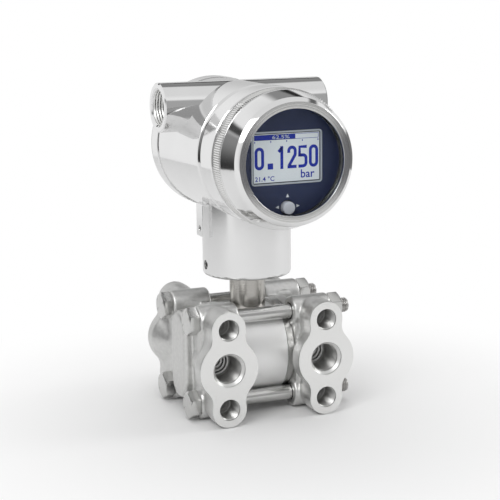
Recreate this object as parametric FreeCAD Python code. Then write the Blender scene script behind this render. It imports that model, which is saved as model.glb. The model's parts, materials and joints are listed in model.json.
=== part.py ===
import FreeCAD, Part
import math
import os

# Differential pressure transmitter, in millimetres.
# The frame: X runs from the left process flange to the right one, +Y runs from the process
# faces and the display towards the back, +Z is up along the neck. The origin is the middle
# of the four tapped holes of the front process faces, in the plane of those faces.

os.makedirs("parts", exist_ok=True)

# Process connection
PORT_SPACING = 54.0
TAP_SPACING = 41.3
FACE_TO_FACE = 80.9
CELL_RADIUS = 25.0
PORT_RADIUS = 6.7
PORT_DEPTH = 17.0
PORT_SEAT_RADIUS = 8.7
PORT_SEAT_DEPTH = 0.8
PORT_LEAD_IN = 1.2
LINK_RADIUS = 3.2
CHAMBER_DRILL_RADIUS = 2.0
TAP_RADIUS = 4.95
BRACKET_TAP_RADIUS = 4.25
TAP_DEPTH = 13.0
DRILL_POINT = 0.577

# Process flange casting
PAD_END_RADIUS = 9.4
PAD_MIDDLE_RADIUS = 15.8
PAD_FILLET_RADIUS = 9.0
PAD_THICKNESS = 7.5
PAD_EDGE = 0.4
ROOT_END_RADIUS = 8.4
ROOT_MIDDLE_RADIUS = 10.6
ROOT_FILLET_RADIUS = 12.0
TAPER_LENGTH = 11.0
ROOT_REACH = 4.0
PLATE_THICKNESS = 19.5
PLATE_HALF_DEPTH = 25.5
PLATE_HALF_HEIGHT = 19.0
PLATE_CORNER = 5.0
PLATE_EDGE = 1.6
LAND_MARGIN = 0.6
LAND_STEP = 5.0
LAND_SLOPE = 4.0
OVAL_HALF_WIDTH = 10.5
OVAL_HALF_HEIGHT = 23.4
OVAL_STAND = 4.0
OVAL_EDGE = 2.2
CHANNEL_HALF_WIDTH = 14.0
CHANNEL_DEPTH = 1.0
CHAMBER_MARGIN = 8.0
CHAMBER_DEPTH = 1.2

# Flange bolts and nuts
BOLT_ANGLE = 48.3
BOLT_GAP = 0.56
BOLT_RADIUS = 3.9
BOLT_HOLE_RADIUS = 4.5
BOSS_RADIUS = 7.7
BOSS_STAND_IN = 1.0
BOSS_STAND_OUT = 1.0
BOSS_EDGE = 0.8
HEX_FLATS = 13.0
HEAD_HEIGHT = 5.3
NUT_HEIGHT = 6.5
HEX_CHAMFER = 0.9
HEX_FACE_INSET = 0.2
THREAD_END = 5.6
THREAD_CHAMFER = 0.9

# Measuring cell
CELL_HALF_LENGTH = 12.3
STEM_FLAT_DEPTH = 2.5
END_RING_LENGTH = 4.2
END_RING_WALL = 5.2
END_RING_EDGE = 0.5
SPIGOT_LENGTH = 2.8
DIAPHRAGM_MARGIN = 6.4
DIAPHRAGM_THICKNESS = 0.4
CORRUGATIONS = 4
CORRUGATION_HEIGHT = 0.25
SEAL_RING_MARGIN = 2.7
SEAL_SECTION_RADIUS = 1.0

# Rear vent plugs
PLUG_FLATS = 19.0
PLUG_HEX_LENGTH = 8.5
PLUG_COLLAR_RADIUS = 8.2
PLUG_COLLAR_LENGTH = 3.4
PLUG_ENGAGEMENT = 11.0
VENT_RADIUS = 2.6
VENT_LENGTH = 2.0

# Neck stem
STEM_RADIUS = 9.35
STEM_BORE = 5.0
STEM_SEAT_DEPTH = 5.0
STEM_COLLAR_RADIUS = 11.2
STEM_COLLAR_HEIGHT = 0.5
STEM_COLLAR_SLOPE = 1.7
STEM_CLEARANCE = 0.08
HEAD_GAP = 0.3
GRUB_GROOVE_DEPTH = 0.8
GRUB_GROOVE_HEIGHT = 5.2
STEM_SEAL_HEIGHT = 2.0
STEM_SEAL_DEPTH = 1.2
STEM_SEAL_RISE = 9.0
RETAINER_RADIUS = 12.0
RETAINER_HEIGHT = 1.2
RETAINER_GROOVE = 1.0
STEM_TOP = 1.6
HEADER_THICKNESS = 3.0
HEADER_PIN_RADIUS = 0.5
HEADER_PIN_CIRCLE = 2.6
HEADER_PIN_HEIGHT = 5.0
HEADER_PINS = 5

# Electronics housing
HEAD_HEIGHT_Z = 105.8
HOUSING_RADIUS = 35.0
NECK_RADIUS = 23.3
NECK_BOTTOM = 40.4
NECK_EDGE = 3.0
NECK_FLOOR = 12.5
NECK_BORE = 19.6
COLLAR_FRONT = 39.4
GROOVE_STATION = 23.0
GROOVE_HALF_WIDTH = 2.6
GROOVE_DEPTH = 1.3
REAR_SEAM = 38.0
THREAD_WALL = 3.5
THREAD_DEPTH = 14.0
HOUSING_WALL = 4.5
SHOULDER_WIDTH = 2.0
SHOULDER_STATION = 27.0
HOUSING_EDGE = 0.4

# Cable bosses
ENTRY_STATION = -12.0
ENTRY_DROP = 12.6
ENTRY_BOSS_RADIUS = 12.8
ENTRY_RADIUS = 9.3
ENTRY_FLOOR_MARGIN = 7.0
ENTRY_PASSAGE_RADIUS = 7.8
ENTRY_LEAD_IN = 0.8
ENTRY_BOSS_EDGE = 0.6
ENTRY_LEFT_REACH = 43.8
ENTRY_RIGHT_REACH = 47.5

# Rear cap
CAP_OVERHANG = 0.6
CAP_LENGTH = 15.0
CAP_ROUND = 7.0
CAP_WALL = 3.5
CAP_SPIGOT_LENGTH = 5.0
CAP_SPIGOT_WALL = 2.5
CAP_SEAT_GAP = 1.0
CAP_SEAM_EDGE = 0.3
CAP_SEAL_WIDTH = 1.8
CAP_SEAL_DEPTH = 1.0
FIT_CLEARANCE = 0.05

# Screwed cover
COVER_LENGTH = 22.8
COVER_BAND_DROP = 0.7
KNURL_DROP = 0.3
KNURL_START = 1.4
KNURL_LENGTH = 8.4
KNURL_RELIEF = 0.5
TAPER_START_DROP = 0.9
TAPER_END_DROP = 3.6
RIM_DROP = 5.7
RIM_CHAMFER = 2.0
WINDOW_DROP = 9.0
LIP_THICKNESS = 2.0
GASKET_THICKNESS = 0.4
GLASS_LAP = 2.2
GLASS_THICKNESS = 4.0
GLASS_CLEARANCE = 0.2
RETAINING_RING_LENGTH = 1.0
RETAINING_RING_RECESS = 0.4
SKIRT_LENGTH = 9.0
SKIRT_CLEARANCE = 0.08
COVER_SEAL_WIDTH = 1.8
COVER_SEAL_DEPTH = 1.2
COVER_SEAL_OFFSET = 1.2
COVER_GAP = 0.15

# Display module
DISPLAY_CLEARANCE = 3.1
DISPLAY_MARGIN = 7.0
PANEL_THICKNESS = 1.6
LCD_HALF_WIDTH = 18.85
LCD_HALF_HEIGHT = 13.05
LCD_RISE = 1.4
LCD_CORNER = 1.6
LCD_FRAME_WIDTH = 0.8
LCD_FRAME_STAND = 0.3
LCD_RECESS = 0.3
LCD_THICKNESS = 2.4
LCD_GAP = 0.05
BACKLIGHT_THICKNESS = 2.0
LCD_CARRIER_WALL = 1.2
MODULE_DEPTH = 12.4
MODULE_WALL = 1.2
BOARD_THICKNESS = 1.6
BOARD_CLEARANCE = 0.2

# Navigation button
BUTTON_EDGE_GAP = 4.8
BUTTON_RADIUS = 3.2
BUTTON_STAND = 2.7
BUTTON_SKIRT = 1.2
BUTTON_EDGE = 0.5
BUTTON_TOP = 0.9
BUTTON_TRAVEL = 0.5
BUTTON_STOP_GAP = 0.1
BUTTON_HOLE_RADIUS = 3.75
SWITCH_RADIUS = 3.4
SWITCH_HEIGHT = 8.4
SWITCH_WALL = 0.6
SWITCH_FLOOR = 4.4
PIVOT_HEIGHT = 7.0
PIVOT_RADIUS = 0.4
PIVOT_CLEARANCE = 0.05
GIMBAL_RADIUS = 2.5
GIMBAL_BORE = 1.7
GIMBAL_HALF_THICKNESS = 0.7
ROCKER_RADIUS = 0.9
ROCKER_HUB_RADIUS = 1.3
ROCKER_HUB_HALF_HEIGHT = 0.9

# Boards, spacers and terminals behind the display
SPACER_FLATS = 5.2
SPACER_SIDE_MARGIN = 5.5
SPACER_SIDE_DROP = 7.0
SPACER_LOW_MARGIN = 5.0
MAIN_BOARD_STATION = 12.0
MAIN_BOARD_GAP = 0.9
TERMINAL_PLATE_THICKNESS = 3.0
TERMINAL_HALF_WIDTH = 14.0
TERMINAL_HALF_HEIGHT = 8.0
TERMINAL_DROP = 6.0
TERMINAL_DEPTH = 13.0
TERMINAL_PITCH = 7.0
TERMINAL_COUNT = 4
TERMINAL_SCREW_RADIUS = 2.2
TERMINAL_SCREW_LENGTH = 6.0
TERMINAL_SCREW_STAND = 1.0
TERMINAL_WIRE_RADIUS = 1.5
SLOT_HALF_WIDTH = 0.3
SLOT_DEPTH = 0.6

# Small screws and the plate on the neck
GRUB_RADIUS = 2.45
GRUB_RISE = 6.0
GRUB_LENGTH = 12.0
GRUB_TIP_GAP = 0.3
SOCKET_FLATS = 1.02
SOCKET_DEPTH = 0.8
LOCK_RADIUS = 2.0
LOCK_LENGTH = 3.0
LOCK_STATION = 35.0
LOCK_ANGLE = 27.0
LOCK_RECESS = 0.3
PLATE_SIDE_WIDTH = 10.0
PLATE_SIDE_BOTTOM = 61.6
PLATE_SIDE_TOP = 79.0
PLATE_SIDE_STAND = 3.0
PLATE_SIDE_EDGE = 0.8
PLATE_SIDE_BACK = 2.0
PLATE_SCREW_RISE = 4.3
PLATE_SCREW_RADIUS = 1.7
PLATE_SCREW_LENGTH = 4.6
PLATE_SCREW_RECESS = 0.4

# Distance within which a point counts as lying in a plane
TOUCH = 0.001

# Values that follow from the sizes above
NECK_Y = FACE_TO_FACE / 2.0
PORT_X = PORT_SPACING / 2.0
TAP_Z = TAP_SPACING / 2.0
LAND_RADIUS = CELL_RADIUS + LAND_MARGIN
CHAMBER_RADIUS = CELL_RADIUS - CHAMBER_MARGIN
END_RING_BORE = CELL_RADIUS - END_RING_WALL
DIAPHRAGM_RADIUS = CELL_RADIUS - DIAPHRAGM_MARGIN
SEAL_RING_RADIUS = CELL_RADIUS - SEAL_RING_MARGIN
BOLT_CIRCLE = CELL_RADIUS + BOLT_RADIUS + BOLT_GAP
BOLT_Y = BOLT_CIRCLE * math.cos(math.radians(BOLT_ANGLE))
BOLT_Z = BOLT_CIRCLE * math.sin(math.radians(BOLT_ANGLE))
FLANGE_IN = CELL_HALF_LENGTH + END_RING_LENGTH
FLANGE_OUT = FLANGE_IN + PLATE_THICKNESS
BOLT_SEAT = FLANGE_OUT + BOSS_STAND_OUT
STEM_BOTTOM = CELL_RADIUS - STEM_SEAT_DEPTH
NECK_FLOOR_Z = NECK_BOTTOM + NECK_FLOOR
THREAD_BORE = HOUSING_RADIUS - THREAD_WALL
CAVITY_RADIUS = HOUSING_RADIUS - HOUSING_WALL
SHOULDER_RADIUS = CAVITY_RADIUS - SHOULDER_WIDTH
ENTRY_RISE = HOUSING_RADIUS - ENTRY_DROP
ENTRY_FLOOR = HOUSING_RADIUS - ENTRY_FLOOR_MARGIN
CAP_RADIUS = HOUSING_RADIUS + CAP_OVERHANG
COVER_BAND_RADIUS = HOUSING_RADIUS - COVER_BAND_DROP
KNURL_RADIUS = HOUSING_RADIUS - KNURL_DROP
TAPER_START_RADIUS = HOUSING_RADIUS - TAPER_START_DROP
TAPER_END_RADIUS = HOUSING_RADIUS - TAPER_END_DROP
RIM_RADIUS = HOUSING_RADIUS - RIM_DROP
WINDOW_RADIUS = HOUSING_RADIUS - WINDOW_DROP
GLASS_RADIUS = WINDOW_RADIUS + GLASS_LAP
RETAINING_RING_BORE = WINDOW_RADIUS + RETAINING_RING_RECESS
DISPLAY_RADIUS = HOUSING_RADIUS - DISPLAY_MARGIN
BUTTON_DROP = DISPLAY_RADIUS - BUTTON_EDGE_GAP
SPACER_SIDE = DISPLAY_RADIUS - SPACER_SIDE_MARGIN
SPACER_LOW_DROP = DISPLAY_RADIUS - SPACER_LOW_MARGIN
MAIN_BOARD_RADIUS = CAVITY_RADIUS - MAIN_BOARD_GAP
COVER_BACK = COLLAR_FRONT + COVER_GAP
COVER_FRONT = COVER_BACK + COVER_LENGTH
LIP_BACK = COVER_FRONT - LIP_THICKNESS
GLASS_FRONT = LIP_BACK - GASKET_THICKNESS
GLASS_BACK = GLASS_FRONT - GLASS_THICKNESS
RING_BACK = GLASS_BACK - RETAINING_RING_LENGTH
COVER_BORE = GLASS_RADIUS + GLASS_CLEARANCE
SKIRT_RADIUS = THREAD_BORE - SKIRT_CLEARANCE
PANEL_FRONT = RING_BACK - DISPLAY_CLEARANCE
PANEL_BACK = PANEL_FRONT - PANEL_THICKNESS
MODULE_BACK = PANEL_BACK - MODULE_DEPTH
DISPLAY_BOARD_BACK = MODULE_BACK + BOARD_THICKNESS
DISPLAY_BOARD_FRONT = DISPLAY_BOARD_BACK + BOARD_THICKNESS
LCD_FRONT = PANEL_FRONT - LCD_RECESS
LCD_BACK = LCD_FRONT - LCD_THICKNESS
BACKLIGHT_BACK = LCD_BACK - BACKLIGHT_THICKNESS
MAIN_BOARD_BACK = MAIN_BOARD_STATION - BOARD_THICKNESS
PLATE_FRONT = -SHOULDER_STATION + TERMINAL_PLATE_THICKNESS
BUTTON_Z = HEAD_HEIGHT_Z - BUTTON_DROP
PIVOT_STATION = DISPLAY_BOARD_FRONT + PIVOT_HEIGHT
TERMINAL_FRONT = PLATE_FRONT + TERMINAL_DEPTH
PLATE_SCREW_Z = PLATE_SIDE_BOTTOM + PLATE_SCREW_RISE
PLATE_SCREW_OUT = -NECK_RADIUS - PLATE_SIDE_STAND + PLATE_SCREW_RECESS


def vec(x, y, z):
    return FreeCAD.Vector(x, y, z)


def head_y(station):
    """Y of a station given as its distance in front of the neck axis."""
    return NECK_Y - station


def rod(radius, start, end):
    """Solid cylinder between two points."""
    axis = end - start
    return Part.makeCylinder(radius, axis.Length, start, axis)


def rod_x(radius, low, high, y, z):
    """Cylinder along X."""
    return rod(radius, vec(low, y, z), vec(high, y, z))


def rod_z(radius, low, high):
    """Cylinder on the neck axis."""
    return rod(radius, vec(0, NECK_Y, low), vec(0, NECK_Y, high))


def block(low, high):
    """Box between its lowest and highest corners."""
    return Part.makeBox(high[0] - low[0], high[1] - low[1], high[2] - low[2], vec(*low))


def fuse(shapes):
    """One solid from several, with the seams inside each face removed."""
    return shapes[0].multiFuse(shapes[1:]).removeSplitter()


def head_rod(radius, front, back, x=0.0, rise=0.0):
    """Cylinder along the head axis between two stations."""
    z = HEAD_HEIGHT_Z + rise
    return rod(radius, vec(x, head_y(front), z), vec(x, head_y(back), z))


def head_ring(outer, inner, front, back):
    """Tube on the head axis between two stations."""
    return head_rod(outer, front, back).cut(head_rod(inner, front, back))


def head_block(half_width, low, high, front, back, x=0.0):
    """Box on the head: half width about x, two heights above the head axis, two stations."""
    lowest = (x - half_width, head_y(front), HEAD_HEIGHT_Z + low)
    highest = (x + half_width, head_y(back), HEAD_HEIGHT_Z + high)
    return block(lowest, highest)


def turned(points, start, axis):
    """Solid of revolution. Each point is (distance along the axis, radius)."""
    side = vec(0, 0, 1) if abs(axis.z) < 0.5 else vec(1, 0, 0)
    corners = [start + axis * along + side * radius for along, radius in points]
    outline = Part.makePolygon(corners + corners[:1])
    return Part.Face(outline).revolve(start, axis, 360)


def head_turned(points):
    """Solid of revolution about the head axis. Each point is (station, radius)."""
    backwards = [(-station, radius) for station, radius in points]
    return turned(backwards, vec(0, NECK_Y, HEAD_HEIGHT_Z), vec(0, 1, 0))


def drum_profile(start, end, radius, edge):
    """Points of a cylinder with both edges broken."""
    step = edge if end > start else -edge
    points = [(start, 0), (start, radius - edge), (start + step, radius)]
    return points + [(end - step, radius), (end, radius - edge), (end, 0)]


def groove_points(low, high, radius, depth):
    """Four points of a square groove in the outside of a turned piece."""
    return [(low, radius), (low, radius - depth), (high, radius - depth), (high, radius)]


def hex_bar(flats, start, axis, length):
    """Plain hexagonal bar with two corners in the plane of the axis and the third direction."""
    side = axis.cross(vec(0, 0, 1))
    up = side.cross(axis)
    corner = flats / math.sqrt(3)
    turns = [math.radians(60 * step) for step in range(6)]
    corners = [start + side * (corner * math.sin(turn)) + up * (corner * math.cos(turn)) for turn in turns]
    return Part.Face(Part.makePolygon(corners + corners[:1])).extrude(axis * length)


def hexagon(flats, start, axis, length, chamfer_start=0.0, chamfer_end=0.0):
    """Hexagonal head, nut or spacer with corners up and down and its ends chamfered."""
    corner = flats / math.sqrt(3)
    flat_edge = flats / 2.0 - HEX_FACE_INSET
    profile = [(0, 0), (0, corner), (length, corner), (length, 0)]
    if chamfer_start:
        profile[1:2] = [(0, flat_edge), (chamfer_start, corner)]
    if chamfer_end:
        profile[-2:-1] = [(length - chamfer_end, corner), (length, flat_edge)]
    return hex_bar(flats, start, axis, length).common(turned(profile, start, axis))


def mirrored(shape):
    """The same piece on the other side of the plane X = 0."""
    return shape.mirror(vec(0, 0, 0), vec(1, 0, 0))


def mirror_in_depth(shape):
    """The same form at the rear process face."""
    return shape.mirror(vec(0, NECK_Y, 0), vec(0, 1, 0))


def edges_where(shape, test):
    """Edges of a shape whose every vertex passes a test."""
    return [edge for edge in shape.Edges if all(test(vertex.Point) for vertex in edge.Vertexes)]


def edges_along(shape, direction):
    """Straight edges that run along a direction."""
    return [edge for edge in shape.Edges if abs(edge.tangentAt(edge.FirstParameter).dot(direction)) > 0.9]


def save(name, shapes):
    """Write one node, as one solid or a group of separate solids."""
    solids = [solid for shape in shapes for solid in shape.Solids]
    for solid in solids:
        if not solid.isValid():
            print("invalid solid in", name)
    shape = solids[0] if len(solids) == 1 else Part.makeCompound(solids)
    shape.exportStep("parts/" + name + ".step")
    print(name, len(solids), "solid", round(sum(solid.Volume for solid in solids), 2), "mm3")


def lobed_outline(end_radius, middle_radius, fillet_radius, y):
    """Three-lobed wire in a plane of constant Y: two end lobes and a middle one, joined by
    concave arcs that are tangent to both."""
    from_end = end_radius + fillet_radius
    from_middle = middle_radius + fillet_radius
    rise = (from_middle ** 2 - from_end ** 2 + TAP_Z ** 2) / (2.0 * TAP_Z)
    side = math.sqrt(from_middle ** 2 - rise ** 2)
    on_end = (side * end_radius / from_end, TAP_Z + (rise - TAP_Z) * end_radius / from_end)
    on_middle = (side * middle_radius / from_middle, rise * middle_radius / from_middle)
    toward = (on_end[0] + on_middle[0] - 2 * side, on_end[1] + on_middle[1] - 2 * rise)
    size = math.hypot(*toward)
    waist = (side + toward[0] / size * fillet_radius, rise + toward[1] / size * fillet_radius)

    def arc(first, second, third, across, up):
        """Arc through three points of the upper right quarter, moved to another quarter."""
        points = [vec(PORT_X + u * across, y, v * up) for u, v in (first, second, third)]
        return Part.Arc(*points).toShape()

    top = (0, TAP_Z + end_radius)
    outer = (middle_radius, 0)
    arcs = []
    for across, up in ((1, 1), (1, -1), (-1, -1), (-1, 1)):
        quarter = [arc(top, arc_middle(top, on_end, (0, TAP_Z), end_radius), on_end, across, up)]
        quarter.append(arc(on_end, waist, on_middle, across, up))
        quarter.append(arc(on_middle, arc_middle(on_middle, outer, (0, 0), middle_radius), outer, across, up))
        arcs += quarter
    return Part.Wire(Part.__sortEdges__(arcs))


def arc_middle(first, last, centre, radius):
    """Point halfway along a short arc about a centre."""
    across = (first[0] + last[0]) / 2.0 - centre[0]
    up = (first[1] + last[1]) / 2.0 - centre[1]
    size = math.hypot(across, up)
    return (centre[0] + across / size * radius, centre[1] + up / size * radius)


def process_pad():
    """Front pad of the right flange: the machined three-lobed face, its thickness, the cast
    taper behind it, the root that ends inside the bosses and the sleeve round the port."""
    face = lobed_outline(PAD_END_RADIUS, PAD_MIDDLE_RADIUS, PAD_FILLET_RADIUS, 0.0)
    pad = Part.Face(face).extrude(vec(0, PAD_THICKNESS, 0))
    pad = pad.makeChamfer(PAD_EDGE, edges_where(pad, lambda point: point.y < TOUCH))
    back = lobed_outline(PAD_END_RADIUS, PAD_MIDDLE_RADIUS, PAD_FILLET_RADIUS, PAD_THICKNESS)
    root_y = PAD_THICKNESS + TAPER_LENGTH
    root = lobed_outline(ROOT_END_RADIUS, ROOT_MIDDLE_RADIUS, ROOT_FILLET_RADIUS, root_y)
    taper = Part.makeLoft([back, root], True, True)
    core = Part.Face(root).extrude(vec(0, ROOT_REACH, 0))
    sleeve = rod(ROOT_MIDDLE_RADIUS, vec(PORT_X, root_y, 0), vec(PORT_X, NECK_Y, 0))
    return [pad, taper, core, sleeve]


def oval_pad():
    """Oval pad that stands out between the two columns of bolts."""
    low = FLANGE_OUT - CHANNEL_DEPTH - PLATE_EDGE
    high = FLANGE_OUT + OVAL_STAND
    straight = OVAL_HALF_HEIGHT - OVAL_HALF_WIDTH
    middle = block((low, NECK_Y - OVAL_HALF_WIDTH, -straight), (high, NECK_Y + OVAL_HALF_WIDTH, straight))
    ends = [rod_x(OVAL_HALF_WIDTH, low, high, NECK_Y, side * straight) for side in (1, -1)]
    pad = fuse([middle] + ends)
    return pad.makeFillet(OVAL_EDGE, edges_where(pad, lambda point: point.x > high - TOUCH))


def bolt_places():
    """Y and Z of the four flange bolts."""
    return [(NECK_Y + side * BOLT_Y, level * BOLT_Z) for side in (-1, 1) for level in (1, -1)]


def flange_plate():
    """Plate of the right flange with its round land towards the cell."""
    low = (FLANGE_IN, NECK_Y - PLATE_HALF_DEPTH, -PLATE_HALF_HEIGHT)
    plate = block(low, (FLANGE_OUT, NECK_Y + PLATE_HALF_DEPTH, PLATE_HALF_HEIGHT))
    plate = plate.makeFillet(PLATE_CORNER, edges_along(plate, vec(1, 0, 0)))
    plate = plate.makeFillet(PLATE_EDGE, edges_where(plate, lambda point: point.x > FLANGE_OUT - TOUCH))
    slope_end = LAND_STEP + LAND_SLOPE
    outline = [(0, 0), (0, LAND_RADIUS), (LAND_STEP, LAND_RADIUS)]
    outline += [(slope_end, LAND_RADIUS - LAND_SLOPE), (slope_end, 0)]
    return [plate, turned(outline, vec(FLANGE_IN, NECK_Y, 0), vec(1, 0, 0))]


def bolt_boss(y, z):
    length = PLATE_THICKNESS + BOSS_STAND_IN + BOSS_STAND_OUT
    outline = drum_profile(0, length, BOSS_RADIUS, BOSS_EDGE)
    return turned(outline, vec(FLANGE_IN - BOSS_STAND_IN, y, z), vec(1, 0, 0))


def flange_casting():
    """The right flange before machining: plate, pads and bosses with a channel round the oval
    pad, all in one piece."""
    front = process_pad()
    casting = fuse(flange_plate() + front + [mirror_in_depth(shape) for shape in front])
    reach = TAP_Z + PAD_END_RADIUS
    low = (FLANGE_OUT - CHANNEL_DEPTH, NECK_Y - CHANNEL_HALF_WIDTH, -reach)
    channel = block(low, (FLANGE_OUT + PAD_MIDDLE_RADIUS, NECK_Y + CHANNEL_HALF_WIDTH, reach))
    return fuse([casting.cut(channel), oval_pad()] + [bolt_boss(y, z) for y, z in bolt_places()])


def port_bore():
    """Process port with a shallow seat and a cone, running on as the link to the chamber."""
    cone_end = PORT_SEAT_DEPTH + PORT_LEAD_IN
    link_start = PORT_DEPTH + PORT_RADIUS - LINK_RADIUS
    outline = [(0, 0), (0, PORT_SEAT_RADIUS), (PORT_SEAT_DEPTH, PORT_SEAT_RADIUS), (cone_end, PORT_RADIUS)]
    outline += [(PORT_DEPTH, PORT_RADIUS), (link_start, LINK_RADIUS), (NECK_Y, LINK_RADIUS), (NECK_Y, 0)]
    return turned(outline, vec(PORT_X, 0, 0), vec(0, 1, 0))


def tapped_hole(radius, z):
    """Blind tapped hole with its drill point."""
    outline = [(0, 0), (0, radius), (TAP_DEPTH, radius), (TAP_DEPTH + radius * DRILL_POINT, 0)]
    return turned(outline, vec(PORT_X, 0, z), vec(0, 1, 0))


def process_flange():
    """Right process flange: the casting with its machined faces and holes. The front holes take
    the screws of a manifold, the smaller rear ones those of a bracket."""
    flange = flange_casting()
    tools = [port_bore(), mirror_in_depth(port_bore())]
    for z in (TAP_Z, -TAP_Z):
        tools += [tapped_hole(TAP_RADIUS, z), mirror_in_depth(tapped_hole(BRACKET_TAP_RADIUS, z))]
    inner = FLANGE_IN - BOSS_STAND_IN
    tools.append(rod_x(CELL_RADIUS + FIT_CLEARANCE, 0, FLANGE_IN, NECK_Y, 0))
    tools.append(rod_x(CHAMBER_RADIUS, FLANGE_IN, FLANGE_IN + CHAMBER_DEPTH, NECK_Y, 0))
    tools.append(rod_x(CHAMBER_DRILL_RADIUS, FLANGE_IN, PORT_X, NECK_Y, 0))
    tools += [rod_x(BOLT_HOLE_RADIUS, inner, BOLT_SEAT, y, z) for y, z in bolt_places()]
    for tool in tools:
        flange = flange.cut(tool)
    return flange


def flange_bolt(y, z):
    """Hexagon bolt with its head on the left flange and its thread end past the nut."""
    right = vec(1, 0, 0)
    head = hexagon(HEX_FLATS, vec(-BOLT_SEAT - HEAD_HEIGHT, y, z), right, HEAD_HEIGHT, HEX_CHAMFER, 0.0)
    length = 2 * BOLT_SEAT + NUT_HEIGHT + THREAD_END
    outline = [(0, 0), (0, BOLT_RADIUS), (length - THREAD_CHAMFER, BOLT_RADIUS)]
    outline += [(length, BOLT_RADIUS - THREAD_CHAMFER), (length, 0)]
    shank = turned(outline, vec(-BOLT_SEAT, y, z), right)
    return fuse([head, shank])


def flange_nut(y, z):
    nut = hexagon(HEX_FLATS, vec(BOLT_SEAT, y, z), vec(1, 0, 0), NUT_HEIGHT, HEX_CHAMFER, HEX_CHAMFER)
    return nut.cut(rod_x(BOLT_RADIUS, BOLT_SEAT, BOLT_SEAT + NUT_HEIGHT, y, z))


def measuring_cell():
    """Turned cell body with a spigot at each end, and on top the flat and seat of the stem."""
    end = CELL_HALF_LENGTH
    body = rod_x(CELL_RADIUS, -end, end, NECK_Y, 0)
    spigot = rod_x(END_RING_BORE, -end - SPIGOT_LENGTH, end + SPIGOT_LENGTH, NECK_Y, 0)
    body = fuse([body, spigot])
    low = (-end, NECK_Y - CELL_RADIUS, CELL_RADIUS - STEM_FLAT_DEPTH)
    body = body.cut(block(low, (end, NECK_Y + CELL_RADIUS, CELL_RADIUS)))
    body = body.cut(rod_z(STEM_RADIUS, STEM_BOTTOM, CELL_RADIUS))
    return body.cut(rod_z(STEM_BORE, STEM_BOTTOM - HEADER_THICKNESS, STEM_BOTTOM))


def end_ring():
    """Right end ring, with the groove of its seal in the outer face."""
    edge, length = END_RING_EDGE, END_RING_LENGTH
    outline = [(0, END_RING_BORE), (0, CELL_RADIUS - edge), (edge, CELL_RADIUS)]
    outline += [(length - edge, CELL_RADIUS), (length, CELL_RADIUS - edge), (length, END_RING_BORE)]
    body = turned(outline, vec(CELL_HALF_LENGTH, NECK_Y, 0), vec(1, 0, 0))
    floor = FLANGE_IN - 2 * SEAL_SECTION_RADIUS
    outer = rod_x(SEAL_RING_RADIUS + SEAL_SECTION_RADIUS, floor, FLANGE_IN, NECK_Y, 0)
    inner = rod_x(SEAL_RING_RADIUS - SEAL_SECTION_RADIUS, floor, FLANGE_IN, NECK_Y, 0)
    return body.cut(outer.cut(inner))


def flange_seal():
    centre = vec(FLANGE_IN - SEAL_SECTION_RADIUS, NECK_Y, 0)
    return Part.makeTorus(SEAL_RING_RADIUS, SEAL_SECTION_RADIUS, centre, vec(1, 0, 0))


def diaphragm():
    """Thin corrugated disc that lies on the end of the cell body."""
    waves = 2 * CORRUGATIONS + 1
    step = DIAPHRAGM_RADIUS / waves
    outline = [(0, 0), (0, DIAPHRAGM_RADIUS)]
    for wave in range(waves):
        lift = CORRUGATION_HEIGHT if wave % 2 else 0.0
        outline.append((DIAPHRAGM_THICKNESS + lift, DIAPHRAGM_RADIUS - wave * step))
    outline.append((DIAPHRAGM_THICKNESS, 0))
    return turned(outline, vec(CELL_HALF_LENGTH + SPIGOT_LENGTH, NECK_Y, 0), vec(1, 0, 0))


def vent_plug():
    """Hexagon plug in the rear port of the right flange, with a small vent stud."""
    seat = FACE_TO_FACE - PORT_SEAT_DEPTH
    hex_start = seat + PLUG_COLLAR_LENGTH
    back = vec(0, 1, 0)
    outline = [(-PLUG_ENGAGEMENT, 0), (-PLUG_ENGAGEMENT, PORT_RADIUS), (-PORT_LEAD_IN, PORT_RADIUS)]
    outline += [(0, PORT_SEAT_RADIUS), (0, PLUG_COLLAR_RADIUS)]
    outline += [(PLUG_COLLAR_LENGTH, PLUG_COLLAR_RADIUS), (PLUG_COLLAR_LENGTH, 0)]
    shank = turned(outline, vec(PORT_X, seat, 0), back)
    bar = hexagon(PLUG_FLATS, vec(PORT_X, hex_start, 0), back, PLUG_HEX_LENGTH, HEX_CHAMFER, HEX_CHAMFER)
    vent_end = hex_start + PLUG_HEX_LENGTH + VENT_LENGTH
    vent = rod(VENT_RADIUS, vec(PORT_X, hex_start, 0), vec(PORT_X, vent_end, 0))
    return fuse([shank, bar, vent])


def neck_stem():
    """Turned stem: welded into the cell, with a flared collar under the neck and a groove for
    each thing that runs against it inside the neck."""
    collar_top = NECK_BOTTOM - HEAD_GAP
    collar_low = collar_top - STEM_COLLAR_HEIGHT
    grub_low = NECK_BOTTOM + GRUB_RISE - GRUB_GROOVE_HEIGHT / 2.0
    seal_low = NECK_BOTTOM + STEM_SEAL_RISE
    clip_low = NECK_FLOOR_Z + HEAD_GAP
    top = clip_low + RETAINER_HEIGHT + STEM_TOP
    outline = [(STEM_BOTTOM, STEM_BORE), (STEM_BOTTOM, STEM_RADIUS)]
    outline += [(collar_low - STEM_COLLAR_SLOPE, STEM_RADIUS), (collar_low, STEM_COLLAR_RADIUS)]
    outline += [(collar_top, STEM_COLLAR_RADIUS), (collar_top, STEM_RADIUS)]
    outline += groove_points(grub_low, grub_low + GRUB_GROOVE_HEIGHT, STEM_RADIUS, GRUB_GROOVE_DEPTH)
    outline += groove_points(seal_low, seal_low + STEM_SEAL_HEIGHT, STEM_RADIUS, STEM_SEAL_DEPTH)
    outline += groove_points(clip_low, clip_low + RETAINER_HEIGHT, STEM_RADIUS, RETAINER_GROOVE)
    outline += [(top, STEM_RADIUS), (top, STEM_BORE)]
    return turned(outline, vec(0, NECK_Y, 0), vec(0, 0, 1))


def stem_ring(outer, inner, low, height):
    """Ring round the neck axis, from a height upwards."""
    return rod_z(outer, low, low + height).cut(rod_z(inner, low, low + height))


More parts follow.
